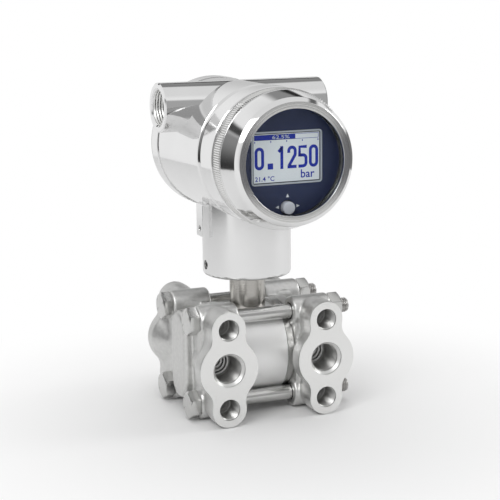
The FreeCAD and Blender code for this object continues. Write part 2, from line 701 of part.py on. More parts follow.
def sensor_header():
    """Sealed feedthrough with its pins, in the seat below the stem."""
    low = STEM_BOTTOM - HEADER_THICKNESS
    parts = [rod_z(STEM_BORE, low, STEM_BOTTOM)]
    pin_low = STEM_BOTTOM - HEADER_THICKNESS / 2.0
    pin_high = STEM_BOTTOM + HEADER_PIN_HEIGHT
    for pin in range(HEADER_PINS):
        turn = math.radians(360.0 * pin / HEADER_PINS)
        x = HEADER_PIN_CIRCLE * math.cos(turn)
        y = NECK_Y + HEADER_PIN_CIRCLE * math.sin(turn)
        parts.append(rod(HEADER_PIN_RADIUS, vec(x, y, pin_low), vec(x, y, pin_high)))
    return fuse(parts)


def cable_boss(side, reach):
    """Cable boss towards one side, with a broken edge at its mouth."""
    edge = ENTRY_BOSS_EDGE
    outline = [(0, 0), (0, ENTRY_BOSS_RADIUS), (reach - edge, ENTRY_BOSS_RADIUS)]
    outline += [(reach, ENTRY_BOSS_RADIUS - edge), (reach, 0)]
    centre = vec(0, head_y(ENTRY_STATION), HEAD_HEIGHT_Z + ENTRY_RISE)
    return turned(outline, centre, vec(side, 0, 0))


def cable_hole(side, reach):
    """Cable entry at core size with its lead-in, and behind it a narrower passage for the wires,
    bored on to the middle of the drum."""
    lead, passage = ENTRY_LEAD_IN, ENTRY_PASSAGE_RADIUS
    outline = [(0, 0), (0, passage), (ENTRY_FLOOR, passage), (ENTRY_FLOOR, ENTRY_RADIUS)]
    outline += [(reach - lead, ENTRY_RADIUS), (reach, ENTRY_RADIUS + lead), (reach, 0)]
    centre = vec(0, head_y(ENTRY_STATION), HEAD_HEIGHT_Z + ENTRY_RISE)
    return turned(outline, centre, vec(side, 0, 0))


def waist_groove():
    """Round-bottomed groove round the housing, as a ring to cut away."""
    rim = HEAD_HEIGHT_Z + HOUSING_RADIUS
    over = rim + GROOVE_DEPTH
    front = head_y(GROOVE_STATION + GROOVE_HALF_WIDTH)
    back = head_y(GROOVE_STATION - GROOVE_HALF_WIDTH)
    bottom = vec(0, head_y(GROOVE_STATION), rim - GROOVE_DEPTH)
    arc = Part.Arc(vec(0, front, rim), bottom, vec(0, back, rim)).toShape()
    corners = [vec(0, back, rim), vec(0, back, over), vec(0, front, over), vec(0, front, rim)]
    outline = Part.Wire([arc, Part.makePolygon(corners)])
    return Part.Face(outline).revolve(vec(0, NECK_Y, HEAD_HEIGHT_Z), vec(0, 1, 0), 360)


def housing_body():
    """Outside of the housing: the drum with its groove, the neck and the two cable bosses."""
    drum = head_turned(drum_profile(COLLAR_FRONT, -REAR_SEAM, HOUSING_RADIUS, HOUSING_EDGE))
    neck = rod_z(NECK_RADIUS, NECK_BOTTOM, HEAD_HEIGHT_Z)
    neck = neck.makeFillet(NECK_EDGE, edges_where(neck, lambda point: point.z < NECK_BOTTOM + TOUCH))
    bosses = [cable_boss(-1, ENTRY_LEFT_REACH), cable_boss(1, ENTRY_RIGHT_REACH)]
    return fuse([drum.cut(waist_groove()), neck] + bosses)


def housing_cavity():
    """Thread bore, main cavity, shoulder for the terminal plate and seat of the rear cap."""
    thread_back = COLLAR_FRONT - THREAD_DEPTH
    cap_seat = -REAR_SEAM + CAP_SPIGOT_LENGTH + CAP_SEAT_GAP
    outline = [(COLLAR_FRONT, 0), (COLLAR_FRONT, THREAD_BORE), (thread_back, THREAD_BORE)]
    outline += [(thread_back, CAVITY_RADIUS), (-SHOULDER_STATION, CAVITY_RADIUS)]
    outline += [(-SHOULDER_STATION, SHOULDER_RADIUS), (cap_seat, SHOULDER_RADIUS)]
    outline += [(cap_seat, CAVITY_RADIUS), (-REAR_SEAM, CAVITY_RADIUS), (-REAR_SEAM, 0)]
    return head_turned(outline)


def lock_point(radius):
    """Point on the line of the cover lock screw, at a distance from the head axis."""
    turn = math.radians(LOCK_ANGLE)
    return vec(-math.sin(turn) * radius, head_y(LOCK_STATION), HEAD_HEIGHT_Z - math.cos(turn) * radius)


def electronics_housing():
    """Housing in one piece, with its cavities and screw holes."""
    tools = [housing_cavity(), cable_hole(-1, ENTRY_LEFT_REACH), cable_hole(1, ENTRY_RIGHT_REACH)]
    tools.append(rod_z(NECK_BORE, NECK_FLOOR_Z, HEAD_HEIGHT_Z))
    tools.append(rod_z(STEM_RADIUS + STEM_CLEARANCE, NECK_BOTTOM, NECK_FLOOR_Z))
    grub_end = -STEM_RADIUS + STEM_CLEARANCE
    tools.append(rod_x(GRUB_RADIUS, -NECK_RADIUS, grub_end, NECK_Y, NECK_BOTTOM + GRUB_RISE))
    tools.append(rod(LOCK_RADIUS, lock_point(THREAD_BORE - LOCK_RECESS), lock_point(HOUSING_RADIUS + 1)))
    screw_end = PLATE_SCREW_OUT + PLATE_SCREW_LENGTH
    tools.append(rod_x(PLATE_SCREW_RADIUS, -NECK_RADIUS, screw_end, NECK_Y, PLATE_SCREW_Z))
    body = housing_body()
    for tool in tools:
        body = body.cut(tool)
    return body


def rear_cap():
    """Turned cap that closes the drum, rounded at its back, with a spigot and a seal groove."""
    seam = -REAR_SEAM
    back = seam - CAP_LENGTH
    outer = head_rod(CAP_RADIUS, seam, back)
    outer = outer.makeFillet(CAP_ROUND, edges_where(outer, lambda point: point.y > head_y(back) - TOUCH))
    outer = outer.makeChamfer(CAP_SEAM_EDGE, edges_where(outer, lambda point: point.y < head_y(seam) + TOUCH))
    spigot_radius = CAVITY_RADIUS - FIT_CLEARANCE
    cap = fuse([outer, head_rod(spigot_radius, seam + CAP_SPIGOT_LENGTH, seam)])
    cap = cap.cut(head_rod(spigot_radius - CAP_SPIGOT_WALL, seam + CAP_SPIGOT_LENGTH, back + CAP_WALL))
    return cap.cut(cap_seal())


def cap_seal():
    """Seal in the middle of the rear cap's spigot."""
    middle = -REAR_SEAM + CAP_SPIGOT_LENGTH / 2.0
    front, back = middle + CAP_SEAL_WIDTH / 2.0, middle - CAP_SEAL_WIDTH / 2.0
    return head_ring(CAVITY_RADIUS - FIT_CLEARANCE, CAVITY_RADIUS - CAP_SEAL_DEPTH, front, back)


def cover_ring():
    """Screwed cover: plain band, raised knurl band, tapered front, chamfered rim, lip and skirt."""
    knurl_back = COVER_BACK + KNURL_START
    knurl_front = knurl_back + KNURL_LENGTH
    skirt_back = COVER_BACK - SKIRT_LENGTH
    outline = [(COVER_BACK, SKIRT_RADIUS), (COVER_BACK, COVER_BAND_RADIUS)]
    outline += [(knurl_back, COVER_BAND_RADIUS), (knurl_back, KNURL_RADIUS)]
    outline += [(knurl_front, KNURL_RADIUS), (knurl_front + KNURL_RELIEF, TAPER_START_RADIUS)]
    outline += [(COVER_FRONT - RIM_CHAMFER, TAPER_END_RADIUS)]
    outline += [(COVER_FRONT, RIM_RADIUS), (COVER_FRONT, WINDOW_RADIUS), (LIP_BACK, WINDOW_RADIUS)]
    outline += [(LIP_BACK, COVER_BORE), (skirt_back, COVER_BORE), (skirt_back, SKIRT_RADIUS)]
    seal_front = COVER_BACK - COVER_SEAL_OFFSET + FIT_CLEARANCE
    seal_back = COVER_BACK - COVER_SEAL_OFFSET - COVER_SEAL_WIDTH - FIT_CLEARANCE
    groove_floor = THREAD_BORE - COVER_SEAL_DEPTH - FIT_CLEARANCE
    return head_turned(outline).cut(head_ring(SKIRT_RADIUS, groove_floor, seal_front, seal_back))


def cover_seal():
    """Seal carried in the groove of the cover's skirt."""
    front = COVER_BACK - COVER_SEAL_OFFSET
    back = front - COVER_SEAL_WIDTH
    return head_ring(THREAD_BORE - FIT_CLEARANCE, THREAD_BORE - COVER_SEAL_DEPTH, front, back)


def window_block(inset, front, back, corner=0.0):
    """Upright block of the display window's size less an inset, centred on the window."""
    half_width, half_height = LCD_HALF_WIDTH - inset, LCD_HALF_HEIGHT - inset
    solid = head_block(half_width, LCD_RISE - half_height, LCD_RISE + half_height, front, back)
    if corner <= 0:
        return solid
    return solid.makeFillet(corner, edges_along(solid, vec(0, 1, 0)))


def display_panel():
    """Dark front panel with the window of the display and the hole of the button."""
    panel = head_rod(DISPLAY_RADIUS, PANEL_FRONT, PANEL_BACK)
    panel = panel.cut(window_block(0.0, PANEL_FRONT, PANEL_BACK, LCD_CORNER))
    return panel.cut(head_rod(BUTTON_HOLE_RADIUS, PANEL_FRONT, PANEL_BACK, 0, -BUTTON_DROP))


def lcd_frame():
    """Light frame that lines the window and stands a little out of the panel."""
    front = PANEL_FRONT + LCD_FRAME_STAND
    outer = window_block(0.0, front, PANEL_BACK, LCD_CORNER)
    return outer.cut(window_block(LCD_FRAME_WIDTH, front, PANEL_BACK, LCD_CORNER - LCD_FRAME_WIDTH))


def lcd_layer(front, back):
    """Display layer that fits inside the frame."""
    return window_block(LCD_FRAME_WIDTH + LCD_GAP, front, back, LCD_CORNER - LCD_FRAME_WIDTH)


def lcd_carrier():
    """Moulded frame that carries the display layers on the display board."""
    inset = LCD_FRAME_WIDTH + LCD_GAP
    outer = window_block(inset, BACKLIGHT_BACK, DISPLAY_BOARD_FRONT)
    return outer.cut(window_block(inset + LCD_CARRIER_WALL, BACKLIGHT_BACK, DISPLAY_BOARD_FRONT))


def display_housing():
    """Moulded cup behind the panel."""
    cup = head_rod(DISPLAY_RADIUS, PANEL_BACK, MODULE_BACK)
    return cup.cut(head_rod(DISPLAY_RADIUS - MODULE_WALL, PANEL_BACK, DISPLAY_BOARD_BACK))


def pivot_pin(direction, inner, outer, radius):
    """Short pin from the button's pivot along a direction."""
    centre = vec(0, head_y(PIVOT_STATION), BUTTON_Z)
    return rod(radius, centre + direction * inner, centre + direction * outer)


def joystick_base():
    """Round switch case on the display board, open to the front, with two pivot holes."""
    case_front = DISPLAY_BOARD_FRONT + SWITCH_HEIGHT
    case = head_rod(SWITCH_RADIUS, case_front, DISPLAY_BOARD_FRONT, 0, -BUTTON_DROP)
    floor = DISPLAY_BOARD_FRONT + SWITCH_FLOOR
    case = case.cut(head_rod(SWITCH_RADIUS - SWITCH_WALL, case_front, floor, 0, -BUTTON_DROP))
    hole_radius = PIVOT_RADIUS + PIVOT_CLEARANCE
    for side in (1, -1):
        case = case.cut(pivot_pin(vec(0, 0, side), GIMBAL_BORE, SWITCH_RADIUS, hole_radius))
    return case


def joystick_gimbal():
    """Ring that turns about the upright pins and carries the level ones."""
    front, back = PIVOT_STATION + GIMBAL_HALF_THICKNESS, PIVOT_STATION - GIMBAL_HALF_THICKNESS
    body = head_rod(GIMBAL_RADIUS, front, back, 0, -BUTTON_DROP)
    pins = [pivot_pin(vec(0, 0, side), 0, SWITCH_RADIUS - PIVOT_CLEARANCE, PIVOT_RADIUS) for side in (1, -1)]
    body = fuse([body] + pins).cut(head_rod(GIMBAL_BORE, front, back, 0, -BUTTON_DROP))
    for side in (1, -1):
        body = body.cut(pivot_pin(vec(side, 0, 0), 0, GIMBAL_RADIUS, PIVOT_RADIUS + PIVOT_CLEARANCE))
    return body


def joystick_stem():
    """Hub with two level pins and the rod that carries the button."""
    top = PANEL_FRONT + BUTTON_STAND - BUTTON_TOP - BUTTON_TRAVEL - BUTTON_STOP_GAP
    hub_front, hub_back = PIVOT_STATION + ROCKER_HUB_HALF_HEIGHT, PIVOT_STATION - ROCKER_HUB_HALF_HEIGHT
    parts = [head_rod(ROCKER_HUB_RADIUS, hub_front, hub_back, 0, -BUTTON_DROP)]
    parts.append(head_rod(ROCKER_RADIUS, top, hub_back, 0, -BUTTON_DROP))
    reach = GIMBAL_RADIUS - PIVOT_CLEARANCE
    parts += [pivot_pin(vec(side, 0, 0), 0, reach, PIVOT_RADIUS) for side in (1, -1)]
    return fuse(parts)


def navigation_button():
    """Round button that slides on the rod."""
    front = PANEL_FRONT + BUTTON_STAND
    back = PANEL_FRONT - BUTTON_SKIRT
    button = head_rod(BUTTON_RADIUS, front, back, 0, -BUTTON_DROP)
    rim = edges_where(button, lambda point: point.y < head_y(front) + TOUCH)
    button = button.makeFillet(BUTTON_EDGE, rim)
    return button.cut(head_rod(ROCKER_RADIUS + PIVOT_CLEARANCE, front - BUTTON_TOP, back, 0, -BUTTON_DROP))


def spacers(front, back):
    """Three hexagonal spacers between two stations."""
    places = [(-SPACER_SIDE, -SPACER_SIDE_DROP), (SPACER_SIDE, -SPACER_SIDE_DROP), (0.0, -SPACER_LOW_DROP)]
    starts = [vec(x, head_y(front), HEAD_HEIGHT_Z + rise) for x, rise in places]
    return [hexagon(SPACER_FLATS, start, vec(0, 1, 0), front - back) for start in starts]


def terminal_places():
    """X of each terminal screw."""
    return [(place - (TERMINAL_COUNT - 1) / 2.0) * TERMINAL_PITCH for place in range(TERMINAL_COUNT)]


def terminal_screw(x):
    """Screw on the front of the terminal block, with a plain slot."""
    top = TERMINAL_FRONT + TERMINAL_SCREW_STAND
    screw = head_rod(TERMINAL_SCREW_RADIUS, top, TERMINAL_FRONT - TERMINAL_SCREW_LENGTH, x, -TERMINAL_DROP)
    low, high = -TERMINAL_DROP - SLOT_HALF_WIDTH, -TERMINAL_DROP + SLOT_HALF_WIDTH
    return screw.cut(head_block(TERMINAL_SCREW_RADIUS, low, high, top, top - SLOT_DEPTH, x))


def terminal_block():
    """Terminal block with a wire hole above each screw."""
    low, high = -TERMINAL_DROP - TERMINAL_HALF_HEIGHT, -TERMINAL_DROP + TERMINAL_HALF_HEIGHT
    body = head_block(TERMINAL_HALF_WIDTH, low, high, TERMINAL_FRONT, PLATE_FRONT)
    screw_end = TERMINAL_FRONT - TERMINAL_SCREW_LENGTH
    y = head_y(screw_end - TERMINAL_WIRE_RADIUS)
    z = HEAD_HEIGHT_Z - TERMINAL_DROP
    for x in terminal_places():
        body = body.cut(head_rod(TERMINAL_SCREW_RADIUS, TERMINAL_FRONT, screw_end, x, -TERMINAL_DROP))
        body = body.cut(rod(TERMINAL_WIRE_RADIUS, vec(x, y, z), vec(x, y, z + TERMINAL_HALF_HEIGHT)))
    return body


def socket_screw(radius, outer, inner):
    """Headless screw between two points, with a hexagon socket in its outer end."""
    axis = inner - outer
    axis.normalize()
    return rod(radius, outer, inner).cut(hex_bar(SOCKET_FLATS * radius, outer, axis, SOCKET_DEPTH * radius))


def grub_screw():
    """Screw in the neck that locks the swivel, clear of the groove in the stem."""
    z = NECK_BOTTOM + GRUB_RISE
    tip = -(STEM_RADIUS - GRUB_GROOVE_DEPTH + GRUB_TIP_GAP)
    return socket_screw(GRUB_RADIUS, vec(tip - GRUB_LENGTH, NECK_Y, z), vec(tip, NECK_Y, z))


def lock_screw():
    """Cover lock screw in the collar, clear of the cover's skirt."""
    outer = HOUSING_RADIUS - LOCK_RECESS
    return socket_screw(LOCK_RADIUS, lock_point(outer), lock_point(outer - LOCK_LENGTH))


def side_plate():
    """Plate on the left of the neck, hollowed at its back to lie on the neck."""
    outer, inner = -NECK_RADIUS - PLATE_SIDE_STAND, -NECK_RADIUS + PLATE_SIDE_BACK
    half = PLATE_SIDE_WIDTH / 2.0
    plate = block((outer, NECK_Y - half, PLATE_SIDE_BOTTOM), (inner, NECK_Y + half, PLATE_SIDE_TOP))
    plate = plate.makeFillet(PLATE_SIDE_EDGE, edges_where(plate, lambda point: point.x < outer + TOUCH))
    plate = plate.cut(rod_z(NECK_RADIUS, NECK_BOTTOM, HEAD_HEIGHT_Z))
    plate = plate.cut(head_rod(HOUSING_RADIUS + FIT_CLEARANCE, COLLAR_FRONT, -REAR_SEAM))
    return plate.cut(rod_x(PLATE_SCREW_RADIUS, outer, inner, NECK_Y, PLATE_SCREW_Z))


def side_plate_screw():
    outer = vec(PLATE_SCREW_OUT, NECK_Y, PLATE_SCREW_Z)
    return socket_screw(PLATE_SCREW_RADIUS, outer, outer + vec(PLATE_SCREW_LENGTH, 0, 0))


def save_measuring_cell():
    """Everything that stays with the process pipework."""
    pairs = {"process_flange": process_flange(), "cell_end_ring": end_ring(), "flange_seal": flange_seal()}
    pairs.update({"isolating_diaphragm": diaphragm(), "vent_plug": vent_plug()})
    for name, shape in pairs.items():
        save(name + "_right", [shape])
        save(name + "_left", [mirrored(shape)])
    save("cell_body", [measuring_cell()])
    save("flange_bolts", [flange_bolt(y, z) for y, z in bolt_places()])
    save("flange_nuts", [flange_nut(y, z) for y, z in bolt_places()])
    save("neck_stem", [neck_stem()])
    save("sensor_header", [sensor_header()])
    seal_floor = STEM_RADIUS - STEM_SEAL_DEPTH
    save("stem_seal", [stem_ring(STEM_RADIUS, seal_floor, NECK_BOTTOM + STEM_SEAL_RISE, STEM_SEAL_HEIGHT)])
    clip_floor, clip_low = STEM_RADIUS - RETAINER_GROOVE, NECK_FLOOR_Z + HEAD_GAP
    save("stem_retaining_ring", [stem_ring(RETAINER_RADIUS, clip_floor, clip_low, RETAINER_HEIGHT)])


def save_head():
    """The head and the small screws and plate that are fixed to it."""
    save("electronics_housing", [electronics_housing()])
    save("rear_cap", [rear_cap()])
    save("rear_cap_seal", [cap_seal()])
    save("neck_grub_screw", [grub_screw()])
    save("cover_lock_screw", [lock_screw()])
    save("side_plate", [side_plate()])
    save("side_plate_screw", [side_plate_screw()])


def save_electronics():
    """The stack inside the head, from the terminal plate to the display board."""
    save("terminal_plate", [head_rod(CAVITY_RADIUS - FIT_CLEARANCE, PLATE_FRONT, -SHOULDER_STATION)])
    save("terminal_block", [terminal_block()])
    save("terminal_screws", [terminal_screw(x) for x in terminal_places()])
    save("rear_spacers", spacers(MAIN_BOARD_BACK, PLATE_FRONT))
    save("main_board", [head_rod(MAIN_BOARD_RADIUS, MAIN_BOARD_STATION, MAIN_BOARD_BACK)])
    save("front_spacers", spacers(MODULE_BACK, MAIN_BOARD_STATION))
    save("display_housing", [display_housing()])
    board_radius = DISPLAY_RADIUS - MODULE_WALL - BOARD_CLEARANCE
    save("display_board", [head_rod(board_radius, DISPLAY_BOARD_FRONT, DISPLAY_BOARD_BACK)])


def save_display():
    """The display and its button."""
    save("lcd_carrier", [lcd_carrier()])
    save("lcd_backlight", [lcd_layer(LCD_BACK, BACKLIGHT_BACK)])
    save("lcd_display", [lcd_layer(LCD_FRONT, LCD_BACK)])
    save("lcd_frame", [lcd_frame()])
    save("display_panel", [display_panel()])
    save("joystick_base", [joystick_base()])
    save("joystick_gimbal", [joystick_gimbal()])
    save("joystick_stem", [joystick_stem()])
    save("navigation_button", [navigation_button()])


def save_cover():
    """The screwed cover, which turns and travels as one."""
    save("cover_ring", [cover_ring()])
    save("cover_seal", [cover_seal()])
    save("window_gasket", [head_ring(GLASS_RADIUS, WINDOW_RADIUS, LIP_BACK, GLASS_FRONT)])
    save("window_glass", [head_rod(GLASS_RADIUS, GLASS_FRONT, GLASS_BACK)])
    save("glass_retaining_ring", [head_ring(COVER_BORE, RETAINING_RING_BORE, GLASS_BACK, RING_BACK)])


save_measuring_cell()
save_head()
save_electronics()
save_display()
save_cover()
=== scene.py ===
# %% [markdown]
# A differential pressure transmitter has two halves. Below, a measuring cell is clamped between
# two cast flanges by four long bolts. Above, a polished steel head turns on a short stem and
# shows the reading behind a screwed window. This lesson dresses the exact solids of that device:
# solids whose shape is right keep their mesh and get a better finish, and the ones that need finer
# detail, such as the castings, the bolts and the cover, are replaced by new pieces in their place.

# %% Load the solids as a fixed frame
import json
import math

import bmesh
import bpy
from mathutils import Matrix, Vector

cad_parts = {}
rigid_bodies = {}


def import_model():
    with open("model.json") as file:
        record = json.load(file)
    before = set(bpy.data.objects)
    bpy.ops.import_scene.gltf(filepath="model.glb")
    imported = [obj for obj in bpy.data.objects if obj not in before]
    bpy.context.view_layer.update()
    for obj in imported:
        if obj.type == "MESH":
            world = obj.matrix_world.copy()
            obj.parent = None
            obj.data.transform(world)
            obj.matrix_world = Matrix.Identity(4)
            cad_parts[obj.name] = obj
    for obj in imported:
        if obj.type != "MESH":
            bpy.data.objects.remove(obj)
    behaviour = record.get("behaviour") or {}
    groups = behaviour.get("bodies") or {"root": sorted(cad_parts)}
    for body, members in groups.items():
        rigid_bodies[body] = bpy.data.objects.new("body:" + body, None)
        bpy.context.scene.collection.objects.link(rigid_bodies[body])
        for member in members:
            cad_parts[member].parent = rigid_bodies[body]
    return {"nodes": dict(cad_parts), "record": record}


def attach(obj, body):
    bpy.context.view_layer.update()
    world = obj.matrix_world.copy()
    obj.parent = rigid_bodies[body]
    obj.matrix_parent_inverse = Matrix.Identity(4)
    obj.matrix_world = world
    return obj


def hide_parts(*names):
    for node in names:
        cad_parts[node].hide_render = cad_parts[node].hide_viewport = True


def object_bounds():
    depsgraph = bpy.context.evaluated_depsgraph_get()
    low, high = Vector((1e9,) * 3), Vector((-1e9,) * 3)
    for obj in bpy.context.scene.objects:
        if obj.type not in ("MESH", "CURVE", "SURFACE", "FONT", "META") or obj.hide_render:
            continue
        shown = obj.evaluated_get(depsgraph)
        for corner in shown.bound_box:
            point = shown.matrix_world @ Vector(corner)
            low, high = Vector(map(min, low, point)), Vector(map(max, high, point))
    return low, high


for left_over in list(bpy.data.objects):
    bpy.data.objects.remove(left_over)
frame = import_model()
cad_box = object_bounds()
MM = 0.001
print("nodes", len(frame["nodes"]), "box in mm", [[round(v / MM, 1) for v in corner] for corner in cad_box])

# %% [markdown]
# Sizes that several pieces share are named once, in millimetres, as on a drawing. Blender works in
# metres, so they are multiplied by MM where they are used. The device faces along minus Y. The neck
# stands on the middle of the flanges' depth, and the head is a drum that lies along Y.

# %% Shared directions and sizes
FRONT, RIGHT, UP = Vector((0.0, -1.0, 0.0)), Vector((1.0, 0.0, 0.0)), Vector((0.0, 0.0, 1.0))
BACK = -FRONT
NECK_Y, HEAD_Z = 40.45, 105.8
FACE_Y, PORT_X, TAP_Z = 80.9, 27.0, 20.65
NECK_AXIS_Y = NECK_Y * MM
HEAD_AXIS = Vector((0.0, NECK_AXIS_Y, HEAD_Z * MM))
MERGE = 1e-7
print("neck at depth", NECK_Y, "mm, head at height", HEAD_Z, "mm, ports", 2 * PORT_X, "mm apart")

# %% [markdown]
# The camera comes first, because every later choice is judged through it. The standard spacing of
# the ports fixes where it stood: about 23 degrees to the left of the front, 11 degrees above the
# level, roughly 0.7 m away. Its frame is built from three directions, so that the small roll of
# the photograph can be kept as well.

# %% Camera at the angle of the photograph
def in_scene(name, data):
    """A new object with this data, put into the scene."""
    made = bpy.data.objects.new(name, data)
    bpy.context.collection.objects.link(made)
    return made


AZIMUTH, ELEVATION, ROLL = (math.radians(degrees) for degrees in (22.89, 11.08, -0.62))
DISTANCE, AIM_RIGHT, AIM_Z = 717.16, 1.74, 52.21
flat_share = math.cos(ELEVATION)
away = Vector((-math.sin(AZIMUTH) * flat_share, -math.cos(AZIMUTH) * flat_share, math.sin(ELEVATION)))
across = Vector((math.cos(AZIMUTH), -math.sin(AZIMUTH), 0.0))
upward = away.cross(across)
aim = across * AIM_RIGHT * MM + Vector((0.0, NECK_AXIS_Y, AIM_Z * MM))
tilted_across = across * math.cos(ROLL) + upward * math.sin(ROLL)
tilted_up = upward * math.cos(ROLL) - across * math.sin(ROLL)
turned = Matrix((tilted_across, tilted_up, away)).transposed().to_4x4()
lens = bpy.data.cameras.new("camera")
lens.lens, lens.sensor_width, lens.clip_start, lens.clip_end = 97.75, 36.0, 0.01, 20.0
camera = in_scene("camera", lens)
camera.matrix_world = Matrix.Translation(aim + away * DISTANCE * MM) @ turned
bpy.context.scene.camera = camera
bpy.context.scene.view_settings.view_transform = "Standard"
print("camera at", [round(v, 3) for v in camera.location])

# %% [markdown]
# A finish is a small sum over the surface: how far round the axis, how near the edge, how rough.
# The first class below wraps one socket of a node tree, so that such a sum can be written as a
# Python expression, and each operator adds its Math node. Every other node comes from one method
# that takes the node's type, its settings and what goes into its sockets.

# %% Shader maths as Python
class Wire:
    """One output of a node tree, which Python's operators can work on."""

    def __init__(self, tree, socket):
        self.tree, self.socket = tree, socket

    def __add__(self, other):
        return self.tree.maths("ADD", self, other)

    def __sub__(self, other):
        return self.tree.maths("SUBTRACT", self, other)

    def __rsub__(self, other):
        return self.tree.maths("SUBTRACT", other, self)

    def __mul__(self, other):
        return self.tree.maths("MULTIPLY", self, other)

    def __truediv__(self, other):
        return self.tree.maths("DIVIDE", self, other)

    __radd__, __rmul__ = __add__, __mul__


class Tree:
    """A node tree, with one way to add a node and short names for the usual ones."""

    def __init__(self, group):
        self.group = group

    def feed(self, socket, value):
        """Link a wire to a socket, or give the socket a value."""
        if isinstance(value, Wire):
            self.group.links.new(value.socket, socket)
        else:
            socket.default_value = value

    def node(self, kind, settings=None, inputs=None, output=0):
        """A new node, as the wire from one of its outputs."""
        made = self.group.nodes.new(kind)
        for name, value in (settings or {}).items():
            setattr(made, name, value)
        for name, value in (inputs or {}).items():
            self.feed(made.inputs[name], value)
        return Wire(self, made.outputs[output])

    def maths(self, operation, *values):
        """A sum of one operation."""
        return self.node("ShaderNodeMath", {"operation": operation}, dict(enumerate(values)))

    def reach(self, first, second):
        """The distance from an axis, from the two parts of a place that lie across it."""
        return self.maths("SQRT", first * first + second * second)

    def step(self, value, start, end):
        """0 before start and 1 past end, with a smooth rise between."""
        settings = {"interpolation_type": "SMOOTHSTEP"}
        return self.node("ShaderNodeMapRange", settings, {"Value": value, "From Min": start, "From Max": end})

    def blend(self, share, first, second):
        """A colour between two colours."""
        return self.node("ShaderNodeMix", {"data_type": "RGBA"}, {0: share, 6: first, 7: second}, 2)

    def scaled(self, vector, scale):
        """A place stretched by three factors."""
        return self.node("ShaderNodeMapping", {"vector_type": "POINT"}, {"Vector": vector, "Scale": scale})

    def noise(self, place, scale, detail=2.0):
        """Soft random patches, about one in each length of 1 / scale."""
        return self.node("ShaderNodeTexNoise", None, {"Vector": place, "Scale": scale, "Detail": detail})

    def place(self):
        """The place on the object, in metres."""
        return self.node("ShaderNodeTexCoord", output=3)

    def parts(self, vector):
        """The three parts of a vector."""
        split = self.node("ShaderNodeSeparateXYZ", None, {0: vector}).socket.node
        return [Wire(self, socket) for socket in split.outputs]

    def dress(self, sockets, colour, roughness, height, depth):
        """Feed a shader its colour, its roughness and a relief from 0 to 1 with a depth in mm."""
        relief = self.node("ShaderNodeBump", None, {"Height": height, "Distance": depth * MM})
        for name, value in (("Base Color", colour), ("Roughness", roughness), ("Normal", relief)):
            self.feed(sockets[name], value)

    def shader(self):
        """What the Principled shader of a material gives."""
        return Wire(self, self.group.nodes["Principled BSDF"].outputs[0])

    def end_in_mix(self, share, first, second):
        """End a material in a mix of two shaders."""
        both = self.node("ShaderNodeMixShader", None, {0: share, 1: first, 2: second})
        self.feed(self.group.nodes["Material Output"].inputs["Surface"], both)


def finish(name, colour, metallic, roughness, **constants):
    """A new material, its tree and the sockets of the shader that its patterns feed."""
    made = bpy.data.materials.new(name)
    made.use_nodes = True
    sockets = made.node_tree.nodes["Principled BSDF"].inputs
    plain = {"Base Color": (*colour, 1.0), "Metallic": metallic, "Roughness": roughness}
    for socket, value in {**plain, **constants}.items():
        sockets[socket].default_value = value
    return made, Tree(made.node_tree), sockets


print("shader helpers ready")

# %% [markdown]
# Polished steel has no colour of its own: it shows the room. So the room matters as much as the
# metal. Bright parts are photographed in a white tent, and what stays dark in it draws the black
# lines along their edges. The world does the same here. The camera sees it white. Reflections see
# it white with dark gaps on the left and right, in front and high at the back, and a little dimmer
# overhead and straight behind. The left gap gets deeper downwards. Satin and dull surfaces get an
# even light from it.

# %% The room that the metal reflects
WHITE = (1.0, 1.0, 1.0, 1.0)
ROOM_LEVEL, AMBIENT = 0.97, 0.58
world = bpy.data.worlds.new("studio")
world.use_nodes = True
bpy.context.scene.world = world
room = Tree(world.node_tree)
side_part, depth_part, height_part = room.parts(room.node("ShaderNodeTexCoord", output=0))


def dark_gap(part, inner, outer, bottom, top, soft=0.08):
    """1 in the directions past outer on one side and between two heights, 0 elsewhere."""
    rise, fall = room.step(height_part, bottom, bottom + soft), room.step(height_part, top + soft, top)
    return room.step(part, inner, outer) * rise * fall


left_gap = dark_gap(side_part, -0.46, -0.66, -0.32, 0.36, 0.14) * room.step(depth_part, -0.34, -0.20)
back_gap = dark_gap(depth_part, 0.22, 0.40, 0.40, 0.84, 0.06) * room.step(side_part, 0.05, 0.22)
straight_behind = side_part * 0.38 + depth_part * 0.90 - height_part * 0.19
dark_parts = {
    "left gap": (left_gap, 0.72 + room.step(height_part, 0.34, -0.16) * 0.24),
    "right gap": (dark_gap(side_part, 0.56, 0.74, -0.32, 0.10), 0.80),
    "front gap": (dark_gap(depth_part, -0.42, -0.72, -0.30, 0.50, 0.12), 0.55),
    "right line": (dark_gap(side_part, 0.42, 0.60, 0.64, 0.74, 0.05), 0.85),
    "back line": (dark_gap(depth_part, 0.05, 0.30, 0.40, 0.52, 0.06), 0.93),
    "back gap": (back_gap, 0.70),
    "overhead": (room.step(height_part, 0.66, 0.84), 0.14),
    "straight behind": (room.step(straight_behind, 0.74, 0.96), 0.40),
}
level = ROOM_LEVEL
for gap, depth in dark_parts.values():
    level = level * (1.0 - gap * depth)
seen = room.node("ShaderNodeLightPath", output=0)
glossy = room.node("ShaderNodeLightPath", output=3)
soft_light = (1.0 - room.maths("MAXIMUM", seen, glossy)) * AMBIENT
background = world.node_tree.nodes["Background"].inputs
room.feed(background["Color"], WHITE)
room.feed(background["Strength"], room.maths("MAXIMUM", seen, glossy * level) + soft_light)
print("dark parts of the room:", list(dark_parts))

# %% [markdown]
# Three square lamps model the castings: a strong one from the front left, a small one from the
# right and a large one from above. The one above is for the satin parts. In a mirror finish it
# would add a patch of pure white to the room, so reflections don't see it.

# %% Lamps
LAMP_AIM = Vector((0.0, NECK_AXIS_Y, 0.06))


